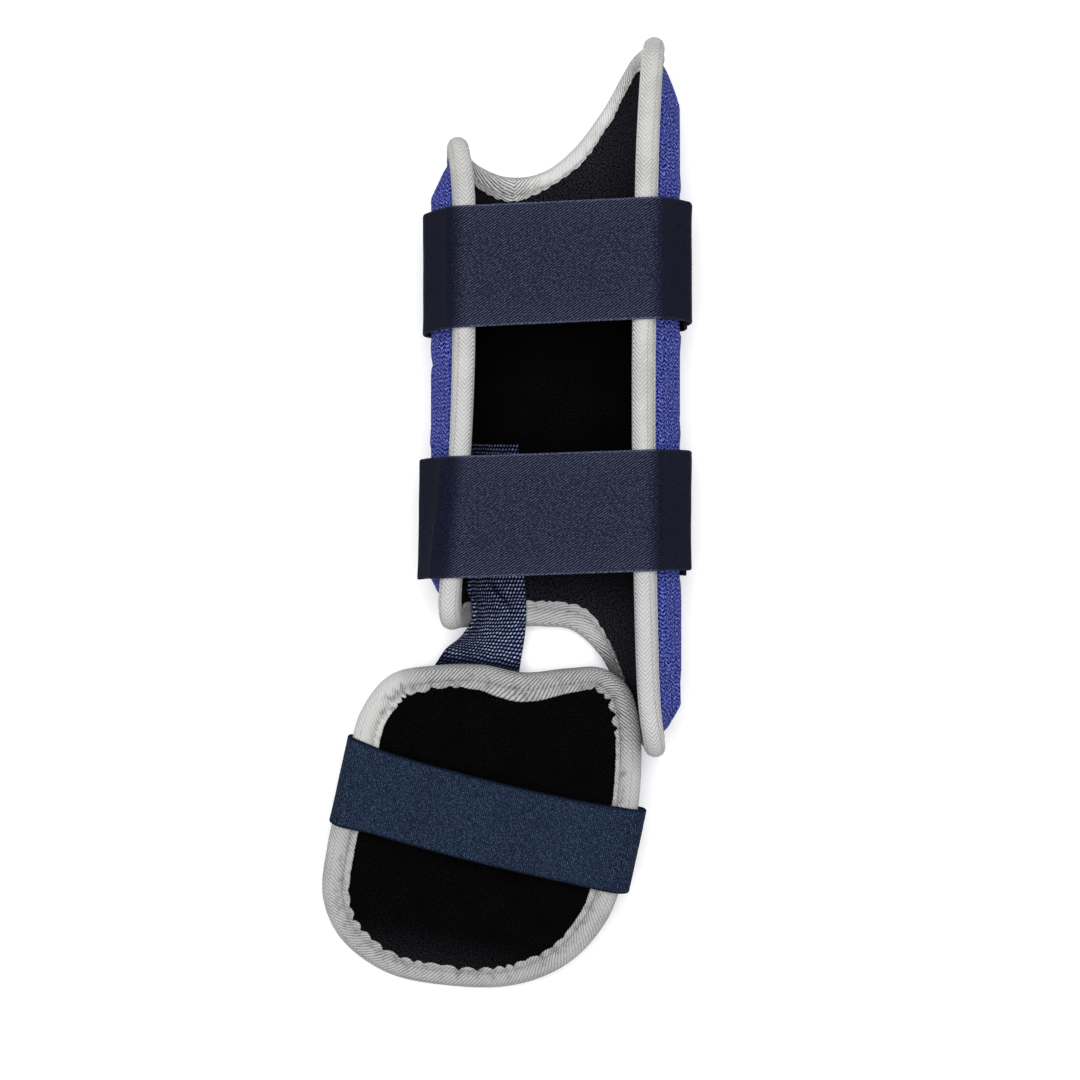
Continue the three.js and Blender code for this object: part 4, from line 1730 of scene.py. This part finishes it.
    def binding(self) -> tuple[Piece, Piece]:
        """Tape round the edge: calm along the rear edges, ruffled above and below, stretched from its join.

        Returns:
            The tape, and its stitches.
        """
        places, along = SHIN.outline(self.tape_step)
        total = along[-1] + self.tape_step
        across, y = places.T
        above, below = y > self.middle_y, y < self.middle_y
        inward = SHIN.half - np.abs(across)
        lower = np.argmin(np.abs(across - self.lower_join) + 1e3 * above)
        start = smoothstep(along, self.stretched_to + self.stretch_fade, self.stretched_to)
        arch = self.arch.share(across) * below
        flat = np.cumsum(1 - self.start_stretch * start - self.arch_stretch * arch) * self.tape_step
        flat_along = np.abs(np.append(flat, flat[-1] + self.tape_step) - flat[lower])
        lean = np.append(self.start_lean * start + self.arch_lean * arch, 0)
        gathered = self.gathered + self.gathered_more * self.gathered_in.share(inward)
        inner = gathered * lobes(along, total, 2.6, 5.5, 21)
        outer = self.gathered_outer * gathered * lobes(along, total, 4, 8, 22)
        ruffle = np.stack([inner, outer], axis=-1)
        # Painted shade: more opening on the arch's right part and limb, and on the top edge's climb, widens
        # the dark furrows there.
        arch_pull_and_shade = self.arch_pull_and_shade + self.arch_right_shade * self.arch_right.share(across)
        arch_pull_and_shade = arch_pull_and_shade + self.arch_limb_shade * self.arch_limb.share(across)
        worn_and_lit = self.worn_and_lit.share(across) * self.worn_in.share(inward) * above
        pull = self.scoop.share(across) * above + arch * arch_pull_and_shade
        pull = pull - self.worn_pull * worn_and_lit + self.climb_shade * (self.climb.share(across) * above)
        uneven = 0.5 + 0.5 * Ripples(23, 6, 16).at(along, 0 * along)
        narrow = self.arch_narrow * (self.arch_tucked.share(across) * below)
        scooped = self.scoop_tucked.share(across) * above
        narrow = narrow + scooped * (self.scoop_narrow + self.scoop_uneven * uneven)
        narrow = narrow + self.low_left_narrow * self.low_left.share(across, y)
        return bound_edge("shin_tape", SHIN_TAPE, SHIN, 1, places, flat_along, lean, ruffle, narrow, pull)

    def build(self, finishes: Finishes) -> None:
        """Builds and dresses the three plies and the stitching.

        Args:
            finishes: The guard's finishes.
        """
        cover = seat(self.cover(), finishes.cover, "shin_cover")
        lining = seat(self.lining(), finishes.lining, "shin_lining")
        tape, stitches = self.binding()
        seat(tape, finishes.tape, "shin_binding")
        seat(stitches, finishes.pale_thread)
        across = np.linspace(-SHIN.half, SHIN.half, 400)
        area = np.trapz(SHIN.edge(Edge.TOP, across) - SHIN.edge(Edge.BOTTOM, across), across)
        2 * SHIN.half * MM
        edge = SHIN.outline(self.tape_step)[1][-1]
        SHIN_TAPE.width * MM


@dataclass(frozen=True)
class ShinBand:
    """Wide elastic band across the open back, and the fastening patch under its right end."""

    name: str
    y: float
    turn: float
    width: float = 50.0
    bend: float = 6.5
    bend_out: float = 2.0
    clear: float = 1.5
    leaves_z: float = 59.0
    end_angle: float = 0.62
    bulge: float = 1.4
    bulge_left: float = 1.3
    droop: float = 0.9
    patch_drop: float = 2.2
    patch_top_z: float = 54.0
    patch_end_angle: float = 0.5
    step: float = 0.9
    bend_points: int = 12
    wall_points: int = 14
    corner_points: int = 30
    bowed: Stretch = Stretch(14, 34, 58, 76)
    drooped: Ramp = Ramp(72, 56)
    curl: float = 0.2
    uneven: float = 0.14
    most_lift: float = 0.3
    seam_margin: float = 4.0
    seam_points: int = 40
    seam_rows: tuple[int, int] = (3, 26)

    def flare(self, side: Side, y: float) -> float:
        """How far one rear edge springs out under the band, at a height."""
        return max(0.0, float(through(SHIN_FLARE, "y", side.name.lower(), np.array(y))))

    def wall(self, top_z: float, end_angle: float, clearance: float, flare: float) -> Array:
        """Outer wall from a height down to an angle round the front corner, in section.

        Args:
            top_z: Height that it starts at.
            end_angle: Angle from straight down that it ends at.
            clearance: Distance from the padding.
            flare: Springing of the rear edge here.

        Returns:
            Places along X, from the guard's middle, and heights.
        """
        raised = PLIES.pad_full + PLIES.gap / 2 + clearance
        far = SHIN.wall_radius + raised
        angle = np.linspace(math.asin((top_z - SHIN.widest_z) / far), 0, self.wall_points)[:-1]
        rise = far * np.sin(angle)
        x = SHIN.front_half + SHIN.corner_radius - SHIN.wall_radius + far * np.cos(angle)
        upper = np.stack([x + flare * (rise / SHIN.wall_rise) ** 2, SHIN.widest_z + rise], axis=-1)
        turn = np.linspace(math.pi / 2, end_angle, self.corner_points)
        near = SHIN.corner_radius + raised
        x = SHIN.front_half + near * np.sin(turn)
        lower = np.stack([x, SHIN.widest_z - near * np.cos(turn)], axis=-1)
        return np.concatenate([upper, lower])

    def half(self, side: Side, y: float, clearance: float) -> Array:
        """Half of the band in section: over the rear edge, a soft bend, a taut stretch, the wall.

        Args:
            side: The guard's side.
            y: Height on the pattern.
            clearance: Distance from the padding.

        Returns:
            Places outward from the guard's middle, and heights.
        """
        flare = self.flare(side, y)
        top = SHIN.widest_z + SHIN.wall_rise + PLIES.tape + self.clear
        start = SHIN.section(np.array(SHIN.half))[0] + flare + self.bend_out
        wall = self.wall(self.leaves_z, self.end_angle, clearance, flare)
        fall = math.atan2(top - self.bend - wall[0, 1], wall[0, 0] - start)
        turn = math.pi / 2 - np.linspace(0, fall, self.bend_points)
        bend = np.stack([start + self.bend * np.cos(turn), top - self.bend * (1 - np.sin(turn))], axis=-1)
        return np.concatenate([bend, wall])

    def section(self, y: float) -> Array:
        """The whole band's inner face in section at a height, from left to right."""
        left = self.half(Side.LEFT, y, PLIES.gap) * np.array([-1, 1])
        return np.concatenate([left[::-1], self.half(Side.RIGHT, y, PLIES.patch + 2 * PLIES.gap)])

    def sheet(self, low: Array, high: Array, across: Array, raised: Array) -> tuple[Array, Array]:
        """Points of a strap ruled between the sections at its two selvedges, bowed out at the sides.

        Args:
            low: Inner face in section at the lower selvedge.
            high: The same at the upper selvedge.
            across: Places across the strap.
            raised: Heights over its inner face.

        Returns:
            Points, rows along the strap by places across, and lengths along the strap.
        """
        length = lengths((low + high) / 2)
        along = np.linspace(0, length[-1], int(length[-1] / self.step))
        lower, upper = (read_at(line, length, along)[:, None] for line in (low, high))
        share = (across / self.width + 0.5)[None, :, None]
        path = lower * (1 - share) + upper * share
        way = unit(np.gradient(path, axis=0))
        bulge = np.where(path[..., 0] < 0, self.bulge_left, self.bulge)
        bowed = bulge * self.bowed.share(path[..., 1])
        x = path[..., 0] - way[..., 1] * (raised + bowed)
        z = path[..., 1] + way[..., 0] * (raised + bowed)
        y = self.y + self.turn * x + across - self.droop * self.drooped.share(path[..., 1])
        return np.stack([x + SHIN.place_x, y + SHIN.place_y, z], axis=-1), along

    def strap(
        self, name: str, low: Array, high: Array, thickness: float, drop: float
    ) -> tuple[Piece, Array]:
        """Strap as wide as the band, with round edges and a little unevenness on its outer face.

        Args:
            name: Name of the object.
            low: Inner face in section at the lower selvedge.
            high: The same at the upper selvedge.
            thickness: The strap's thickness.
            drop: How much lower than the band it sits.

        Returns:
            The strap, and lengths along it.
        """
        across, height = strap_section(self.width, thickness)
        _, along = self.sheet(low, high, across, height)
        curl = self.curl * (np.abs(across) / (self.width / 2)) ** 4
        uneven = Ripples(int(self.y), 14, 40).at(along[:, None], across[None, :]) * self.uneven
        lift = np.minimum(curl + uneven, self.most_lift) * (height > thickness / 2)
        points, _ = self.sheet(low, high, across, height + lift)
        points[..., 1] -= drop
        flat = strip_flat(along - along[-1] / 2, across)
        return make_piece(name, Skin(points[None], flat, False)), along

    def stitches(self, low: Array, high: Array) -> Piece:
        """Sewn oblongs that hold the two ends: rows along both selvedges and across.

        Args:
            low: Inner face in section at the lower selvedge.
            high: The same at the upper selvedge.

        Returns:
            The stitches.
        """
        across = np.linspace(-1, 1, self.seam_points) * (self.width / 2 - self.seam_margin)
        face, _ = self.sheet(low, high, across, np.full(self.seam_points, PLIES.band))
        above, _ = self.sheet(low, high, across, np.full(self.seam_points, PLIES.band + 1))
        out = above - face
        sewn = []
        first, last = self.seam_rows
        for end in (slice(first, last), slice(-last, -first)):
            part, part_out = face[end], out[end]
            lines = [(part[:, 0], part_out[:, 0]), (part[:, -1], part_out[:, -1])]
            lines += [(part[0], part_out[0]), (part[-1], part_out[-1])]
            sewn += [STRAP_SEAM.sewn(points, normals) for points, normals in lines]
        return make_piece(self.name + "_band_stitches", joined(sewn))

    def build(self, finishes: Finishes) -> None:
        """Builds and dresses the band, its patch and its stitching.

        Args:
            finishes: The guard's finishes.
        """
        low, high = self.section(self.y - self.width / 2), self.section(self.y + self.width / 2)
        band, along = self.strap(self.name + "_elastic", low, high, PLIES.band, 0)
        seat(band, finishes.band, self.name + "_band")
        seat(self.stitches(low, high), finishes.navy_thread)
        wall = self.wall(self.patch_top_z, self.patch_end_angle, PLIES.gap, self.flare(Side.RIGHT, self.y))
        patch, patch_along = self.strap(self.name + "_loop_patch", wall, wall, PLIES.patch, self.patch_drop)
        seat(patch, finishes.pile, self.name + "_band_patch")
        for piece, length, held, under in (
            (band, along[-1], Held.STRETCHED, "shin_binding"),
            (patch, patch_along[-1], Held.LAID, "shin_cover"),
        ):
            self.width * MM


SHIN_BANDS = (
    ShinBand("upper", 150.8, 0.046),
    ShinBand("lower", 47.8, 0.034, bulge=1.2, bulge_left=2.6, droop=0.4),
)


class ShinRow(NamedTuple):
    """Edges of the webbing across the shin lining at one height, and how far its left edge spreads."""

    y: float
    left: float
    right: float
    spread: float


class FootRow(NamedTuple):
    """Edges of the webbing across the instep pad at one height."""

    q: float
    left: float
    right: float


WEBBING_SHIN = tuple(ShinRow(*row) for row in (
    (78, -53.2, -16.2, 0), (58, -52.2, -15.2, 0), (38, -51.2, -14.2, 0), (18, -50, -13, 0),
    (15, -50.3, -12.7, 0), (10.5, -51.2, -12.5, 0), (3, -52, -12.5, 0), (-3, -52, -13, 4),
))
WEBBING_FOOT = tuple(FootRow(*row) for row in (
    (69.5, -29.3, 1.2), (65, -31, 1.5), (60, -32.5, 2), (53, -32.5, 2), (44, -32.5, 2),
))


@dataclass(frozen=True)
class LinkWebbing:
    """Webbing that is sewn on the shin lining, goes over its lower tape and on under the instep pad."""

    width: float = 35.0
    clear: float = 0.45
    pleat: float = 1.2
    pleat_along: float = 66.5
    pleat_share: float = 0.62
    pleat_slant: float = 1.1
    pleat_half: float = 1.5
    pleat_window: float = 0.18
    # Painted shade: in the pleat's crease, where the webbing goes under the instep pad, and at its upper
    # end.
    pleat_crease_shade: float = 0.95
    crease_past: float = 2.0
    crease_half: float = 1.9
    hidden_from: float = 94.0
    hidden_over: float = 4.5
    hidden_slant: float = 3.0
    hidden_shade: float = 0.9
    upper_end: Ramp = Ramp(8, 5)
    upper_dark: float = 0.55
    span_points: int = 14
    face_points: int = 30
    seam_margin: float = 3.5
    seam_rows: tuple[int, int] = (3, 29)

    def surface(self, share: Array, height: Array) -> Array:
        """Points of the webbing: a smooth line through its places on the lining and under the pad.

        Args:
            share: Shares of the width, from the left edge.
            height: Heights over the webbing's under side.

        Returns:
            Points, rows along the webbing by places given.
        """
        rows = []
        for row in WEBBING_SHIN:
            over_tape = PLIES.fold + PLIES.gap if row.y < PLIES.pad_start else 0.0
            raised = -PLIES.lining_face - over_tape - self.clear - height
            points = SHIN.place(row.left + (row.right - row.left) * share, np.array(row.y), raised)
            rows.append(points - np.stack([row.spread * (1 - share), 0 * share, 0 * share], axis=-1))
        for row in WEBBING_FOOT:
            under = min(PLIES.under(np.array(FOOT.top - row.q)), -PLIES.tape_out - PLIES.tape)
            p = row.left + (row.right - row.left) * share
            rows.append(FOOT.place(p, np.array(row.q), under - self.clear - PLIES.webbing + height))
        control = np.stack(rows)
        line = smooth_path(control.reshape(len(rows), -1), self.span_points)
        return line.reshape(-1, *control.shape[1:])

    def stitches(self) -> Piece:
        """Sewn oblong at the upper end: rows along both edges and across.

        Returns:
            The stitches.
        """
        margin = self.seam_margin / self.width
        first, last = self.seam_rows
        rows = []
        edges = np.array([margin, 1 - margin])
        face, under = (self.surface(edges, np.full(2, height)) for height in (PLIES.webbing, 0.0))
        for k in (0, 1):
            rows.append((face[first : last + 1, k], unit(face - under)[first : last + 1, k]))
        level = np.linspace(margin, 1 - margin, self.face_points)
        face, under = (self.surface(level, np.full(len(level), height)) for height in (PLIES.webbing, 0.0))
        for row in self.seam_rows:
            rows.append((face[row], unit(face - under)[row]))
        return make_piece("link_strap_stitches", joined([STRAP_SEAM.sewn(*row) for row in rows]))

    def build(self, finishes: Finishes) -> None:
        """Builds and dresses the webbing, with a slanting pleat, painted shade at the pleat's crease, under
        the pad and at its upper end, and the sewn oblong at its upper end.

        Args:
            finishes: The guard's finishes.
        """
        across, height = strap_section(self.width, PLIES.webbing, self.face_points)
        share = across / self.width + 0.5
        points = self.surface(share, height)
        out = self.surface(share, height + 1) - points
        along = lengths(points[:, len(across) // 4])
        aside = share - self.pleat_share
        off_pleat = along[:, None] - self.pleat_along - self.pleat_slant * aside * self.width
        window = np.exp(-(aside / self.pleat_window) ** 2)
        pleat = self.pleat * np.exp(-(off_pleat / self.pleat_half) ** 2) * window
        points = points + out * pleat[..., None]
        # Painted shade in the pleat's crease.
        past = off_pleat + self.crease_past
        crease = self.pleat_crease_shade * window * np.exp(-(past / self.crease_half) ** 2)
        # Painted shadow where the webbing goes under the instep pad.
        hidden = Ramp(self.hidden_from, self.hidden_from + self.hidden_over)
        tucked = self.hidden_shade * hidden.share(along[:, None] + self.hidden_slant * share)
        # Painted shadow at the upper end.
        upper_end = self.upper_dark * self.upper_end.share(along)[:, None]
        dark = np.maximum(crease, np.maximum(tucked, upper_end))
        piece = make_piece("link_strap", Skin(points[None], strip_flat(along, across), False, dark))
        seat(piece, finishes.webbing, "link_webbing")
        seat(self.stitches(), finishes.navy_thread)
        self.width * MM


@dataclass(frozen=True)
class FootPad:
    """Instep pad: its padded cover, its lining and the tape round its edge."""

    rings: int = 64
    seam_rings: int = 14
    edge_step: float = 1.9
    tape_step: float = 0.8
    middle: float = 0.02
    sewn_to: float = 8.5
    band_q: float = 6.0
    band_half: float = 23.0
    strap_from: float = 38.0
    strap_at: float = -15.0
    strap_half: float = 22.0
    calm: Ramp = Ramp(11, 22)
    uneven: float = 0.25
    lining_uneven: float = 0.3
    bottom: Ramp = Ramp(-34, -50)
    top: Ramp = Ramp(40, 56)
    top_left: Ramp = Ramp(-10, -30)
    corner: Area = Area(Ramp(30, 40), Ramp(50, 58))
    # Left side of the pad, where the tape gets a painted highlight: the paler smooth colour and fainter
    # ribs.
    smooth: Area = Area(Ramp(-34, -50), Ramp(-5, 25))
    dip_at: float = 4.0
    dip_half: float = 20.0
    upper_left: Area = Area(Ramp(-30, -40), Ramp(38, 48))
    right: Area = Area(Ramp(45, 54), Ramp(62, 50))
    right_from: Ramp = Ramp(-5, 10)
    lower_right: Area = Area(Ramp(36, 46), Ramp(-12, -24))
    lower_left: Area = Area(Ramp(10, -10), Ramp(-50, -62))

    def wall(self, name: str, seam: float, face: float | None) -> Piece:
        """Wall between the seam and a free face, in rings from the middle out to the edge and back.

        Args:
            name: Name of the object.
            seam: Height of the seam side.
            face: Height of the free face, or none for the padding's under side.

        Returns:
            The wall.
        """
        edge, _ = FOOT.outline(self.edge_step)
        edge = edge[: len(edge) // 2 * 2]
        way = tangents(edge, closed=True)
        reach = edge[:, 0] * way[:, 1] - edge[:, 1] * way[:, 0]
        out = np.linspace(self.middle, 1, self.seam_rings)[:, None]
        back = np.linspace(1, self.middle, self.rings)[:, None]
        share = np.concatenate([out, back])
        p, q = edge[:, 0] * share, edge[:, 1] * share
        inward = (1 - share) * reach
        uneven = Ripples(17, 16, 55).at(p, q) * self.calm.share(inward)
        if face is None:
            free = PLIES.under(inward) + self.uneven * uneven
        else:
            free = face - self.lining_uneven + self.lining_uneven * (1 + uneven)
        on_seam = (np.arange(len(share)) < self.seam_rings)[:, None]
        points = FOOT.place(p, q, np.where(on_seam, seam, free))
        flat = np.stack([p, q], axis=-1)
        piece = make_piece(name, Skin(points[None], np.concatenate([flat, flat[:, :1]], axis=1), False))
        if face is None:
            by_band = np.abs(q - self.band_q) < self.band_half
            by_strap = (q > self.strap_from) & (np.abs(p - self.strap_at) < self.strap_half)
            INFLATION.swell(piece, (on_seam | (inward < self.sewn_to) | by_band | by_strap).ravel())
        return piece

    def binding(self) -> tuple[Piece, Piece]:
        """Tape round the edge: smooth along the sides, gathered below and round the upper corners.

        Returns:
            The tape, and its stitches.
        """
        places, along = FOOT.outline(self.tape_step)
        total = along[-1] + self.tape_step
        p, q = places.T
        bottom, top = self.bottom.share(q), self.top.share(q)
        gathered = 0.08 + 0.8 * bottom + 0.85 * top * self.top_left.share(p) + 1.1 * self.corner.share(p, q)
        inner = gathered * lobes(along, total, 4.2, 10, 31)
        outer = 0.4 * gathered * lobes(along, total, 5, 10, 32)
        flat_along = np.append(along, total)
        ruffle = np.stack([inner, outer], axis=-1)
        # Painted highlight: on the left side the number falls below 0, so the tape turns paler and its ribs
        # fainter.
        smooth = self.smooth.share(p, q)
        pull = (0.12 + 0.6 * top + 0.2 * bottom) * (1 - smooth) - 0.4 * smooth
        lean = 0 * flat_along
        dip = top * np.exp(-((p - self.dip_at) / self.dip_half) ** 2)
        right = self.right.share(p, q) * self.right_from.share(q)
        narrow = 0.33 * right + 0.15 * self.lower_right.share(p, q) - 0.85 * dip
        narrow = narrow - 0.3 * self.upper_left.share(p, q) - 0.15 * self.lower_left.share(p, q)
        return bound_edge("foot_tape", FOOT_TAPE, FOOT, -1, places, flat_along, lean, ruffle, narrow, pull)

    def build(self, finishes: Finishes) -> None:
        """Builds and dresses the pad's plies and its stitching.

        Args:
            finishes: The guard's finishes.
        """
        cover = self.wall("padded_foot_cover", -PLIES.gap / 2, None)
        seat(cover, finishes.cover, "foot_cover")
        lining = self.wall("foot_lining_cloth", PLIES.gap / 2, PLIES.lining_face)
        seat(lining, finishes.foot_lining, "foot_lining")
        tape, stitches = self.binding()
        seat(tape, finishes.foot_tape, "foot_binding")
        seat(stitches, finishes.pale_thread)
        edge, along = FOOT.outline(self.tape_step)
        FOOT_TAPE.width * MM


@dataclass(frozen=True)
class FootBand:
    """Narrow elastic band over the instep pad, round both its edges and on under it."""

    width: float = 35.0
    q: float = 4.9
    turn: float = -0.016
    sag: float = 0.00055
    left: float = 57.4
    right: float = 62.9
    taper: float = 0.5
    spread: float = 0.03
    spread_left: float = 0.08
    round: float = 5.6
    tuck: float = 2.4
    under: float = 34.0
    step: float = 0.9
    turn_points: int = 16
    uneven: float = 0.12
    most_lift: float = 0.3
    relaxed: float = 1.012
    spread_at: Ramp = Ramp(40, 60)
    taper_at: Ramp = Ramp(-40, -58)

    def half(self, reach: float) -> Array:
        """Half of the band in section: a round turn over the pad's edge, then along under its padding.

        Args:
            reach: Place of the pad's edge.

        Returns:
            Places outward from the pad's middle, and heights.
        """
        height = (PLIES.tape_in - PLIES.tape_out) / 2
        centre = FOOT.local(np.array(reach - self.tuck), np.array(0.0), np.array(height))
        end = math.pi / 2 + math.asin(reach / FOOT.bow)
        turn = math.pi / 2 - np.linspace(0, end, self.turn_points)
        edge = centre[[0, 2]] + self.round * np.stack([np.cos(turn), np.sin(turn)], axis=-1)
        inward = np.array([PLIES.tape_leg + 1, 14, 18, 21.5, PLIES.pad_stop, self.under])
        depth = np.minimum(PLIES.under(inward), -PLIES.tape_out - PLIES.tape) - 2 * PLIES.gap
        return np.concatenate([edge, FOOT.local(reach - inward, 0.0 * inward, depth)[:, [0, 2]]])

    def build(self, finishes: Finishes) -> None:
        """Builds and dresses the band, which hangs a little in its middle and spreads at the pad's edges.

        Args:
            finishes: The guard's finishes.
        """
        left = self.half(self.left) * np.array([-1, 1])
        path, along = resample(np.concatenate([left[::-1], self.half(self.right)]), self.step)
        way = tangents(path)
        out = np.stack([-way[:, 1], way[:, 0]], axis=-1)
        across, height = strap_section(self.width, PLIES.band)
        uneven = Ripples(41, 14, 40).at(along[:, None], across[None, :]) * self.uneven
        lift = height + np.minimum(uneven, self.most_lift) * (height > PLIES.band / 2)
        p = path[:, None, 0] + out[:, None, 0] * lift
        high = path[:, None, 1] + out[:, None, 1] * lift
        q = self.q + self.turn * p + self.sag * p ** 2
        spread = np.where(p < 0, self.spread_left, self.spread)
        q = q + across * (self.relaxed + spread * self.spread_at.share(np.abs(p)))
        p = p + self.taper * (across / self.width + 0.5) * self.taper_at.share(p)
        points = FOOT.lies(np.stack([p, q, high], axis=-1))
        band = make_piece("foot_elastic", Skin(points[None], strip_flat(along, across), False))
        seat(band, finishes.foot_band, "foot_band")
        self.width * MM


@dataclass(frozen=True)
class Studio:
    """Pale floor, a soft light and the camera straight above. Its sizes are metres."""

    camera_at: Place = (0.0148, -0.009, 1.680)
    lamp_at: Place = (-0.02, 0.12, 2.3)
    lamp_size: float = 1.4
    lamp_power: float = 66.0
    lens: float = 130.08
    sensor: float = 36.0
    floor_half: float = 6.0
    floor_drop: float = 0.0003
    floor_glow: float = 0.18
    sky: float = 0.26

    def floor(self) -> None:
        """Level floor that glows faintly, as a light table does, just under the guard."""
        half = self.floor_half
        corners = [(-half, -half), (half, -half), (half, half), (-half, half)]
        mesh = bpy.data.meshes.new("floor")
        mesh.from_pydata([(x, y, -self.floor_drop) for x, y in corners], [], [(0, 1, 2, 3)])
        floor = bpy.data.objects.new("floor", mesh)
        bpy.context.scene.collection.objects.link(floor)
        material = bpy.data.materials.new("pale_floor")
        material.use_nodes = True
        shader = material.node_tree.nodes["Principled BSDF"]
        shader.inputs["Base Color"].default_value = (0.92, 0.92, 0.92, 1.0)
        shader.inputs["Roughness"].default_value = 0.9
        shader.inputs["Emission Color"].default_value = (1.0, 1.0, 1.0, 1.0)
        shader.inputs["Emission Strength"].default_value = self.floor_glow
        mesh.materials.append(material)

    def lamp(self) -> None:
        """Square soft light that faces the guard."""
        light = bpy.data.lights.new("overhead_light", "AREA")
        light.size = self.lamp_size
        light.energy = self.lamp_power
        lamp = bpy.data.objects.new("overhead_light", light)
        lamp.location = self.lamp_at
        back = lamp.location.normalized()
        lamp.rotation_euler = back.to_track_quat("Z", "Y").to_euler()
        bpy.context.scene.collection.objects.link(lamp)

    def build(self) -> None:
        """Sets the floor, the light, the even sky and the camera."""
        self.floor()
        self.lamp()
        world = bpy.data.worlds.new("studio")
        world.use_nodes = True
        sky = world.node_tree.nodes["Background"]
        sky.inputs["Color"].default_value = (1.0, 1.0, 1.0, 1.0)
        sky.inputs["Strength"].default_value = self.sky
        scene = bpy.context.scene
        scene.world = world
        scene.view_settings.view_transform = "Standard"
        data = bpy.data.cameras.new("camera")
        data.lens = self.lens
        data.sensor_width = self.sensor
        data.clip_start = 0.01
        camera = bpy.data.objects.new("camera", data)
        camera.location = self.camera_at
        scene.collection.objects.link(camera)
        scene.camera = camera


def main() -> None:
    """Builds the guard's sub-assemblies in order, then the studio."""
    logging.basicConfig(level=logging.INFO, format="%(name)s %(message)s")
    finishes = Finishes.made()
    ShinGuard().build(finishes)
    for band in SHIN_BANDS:
        band.build(finishes)
    LinkWebbing().build(finishes)
    FootPad().build(finishes)
    FootBand().build(finishes)
    Studio().build()


if __name__ == "__main__":
    main()
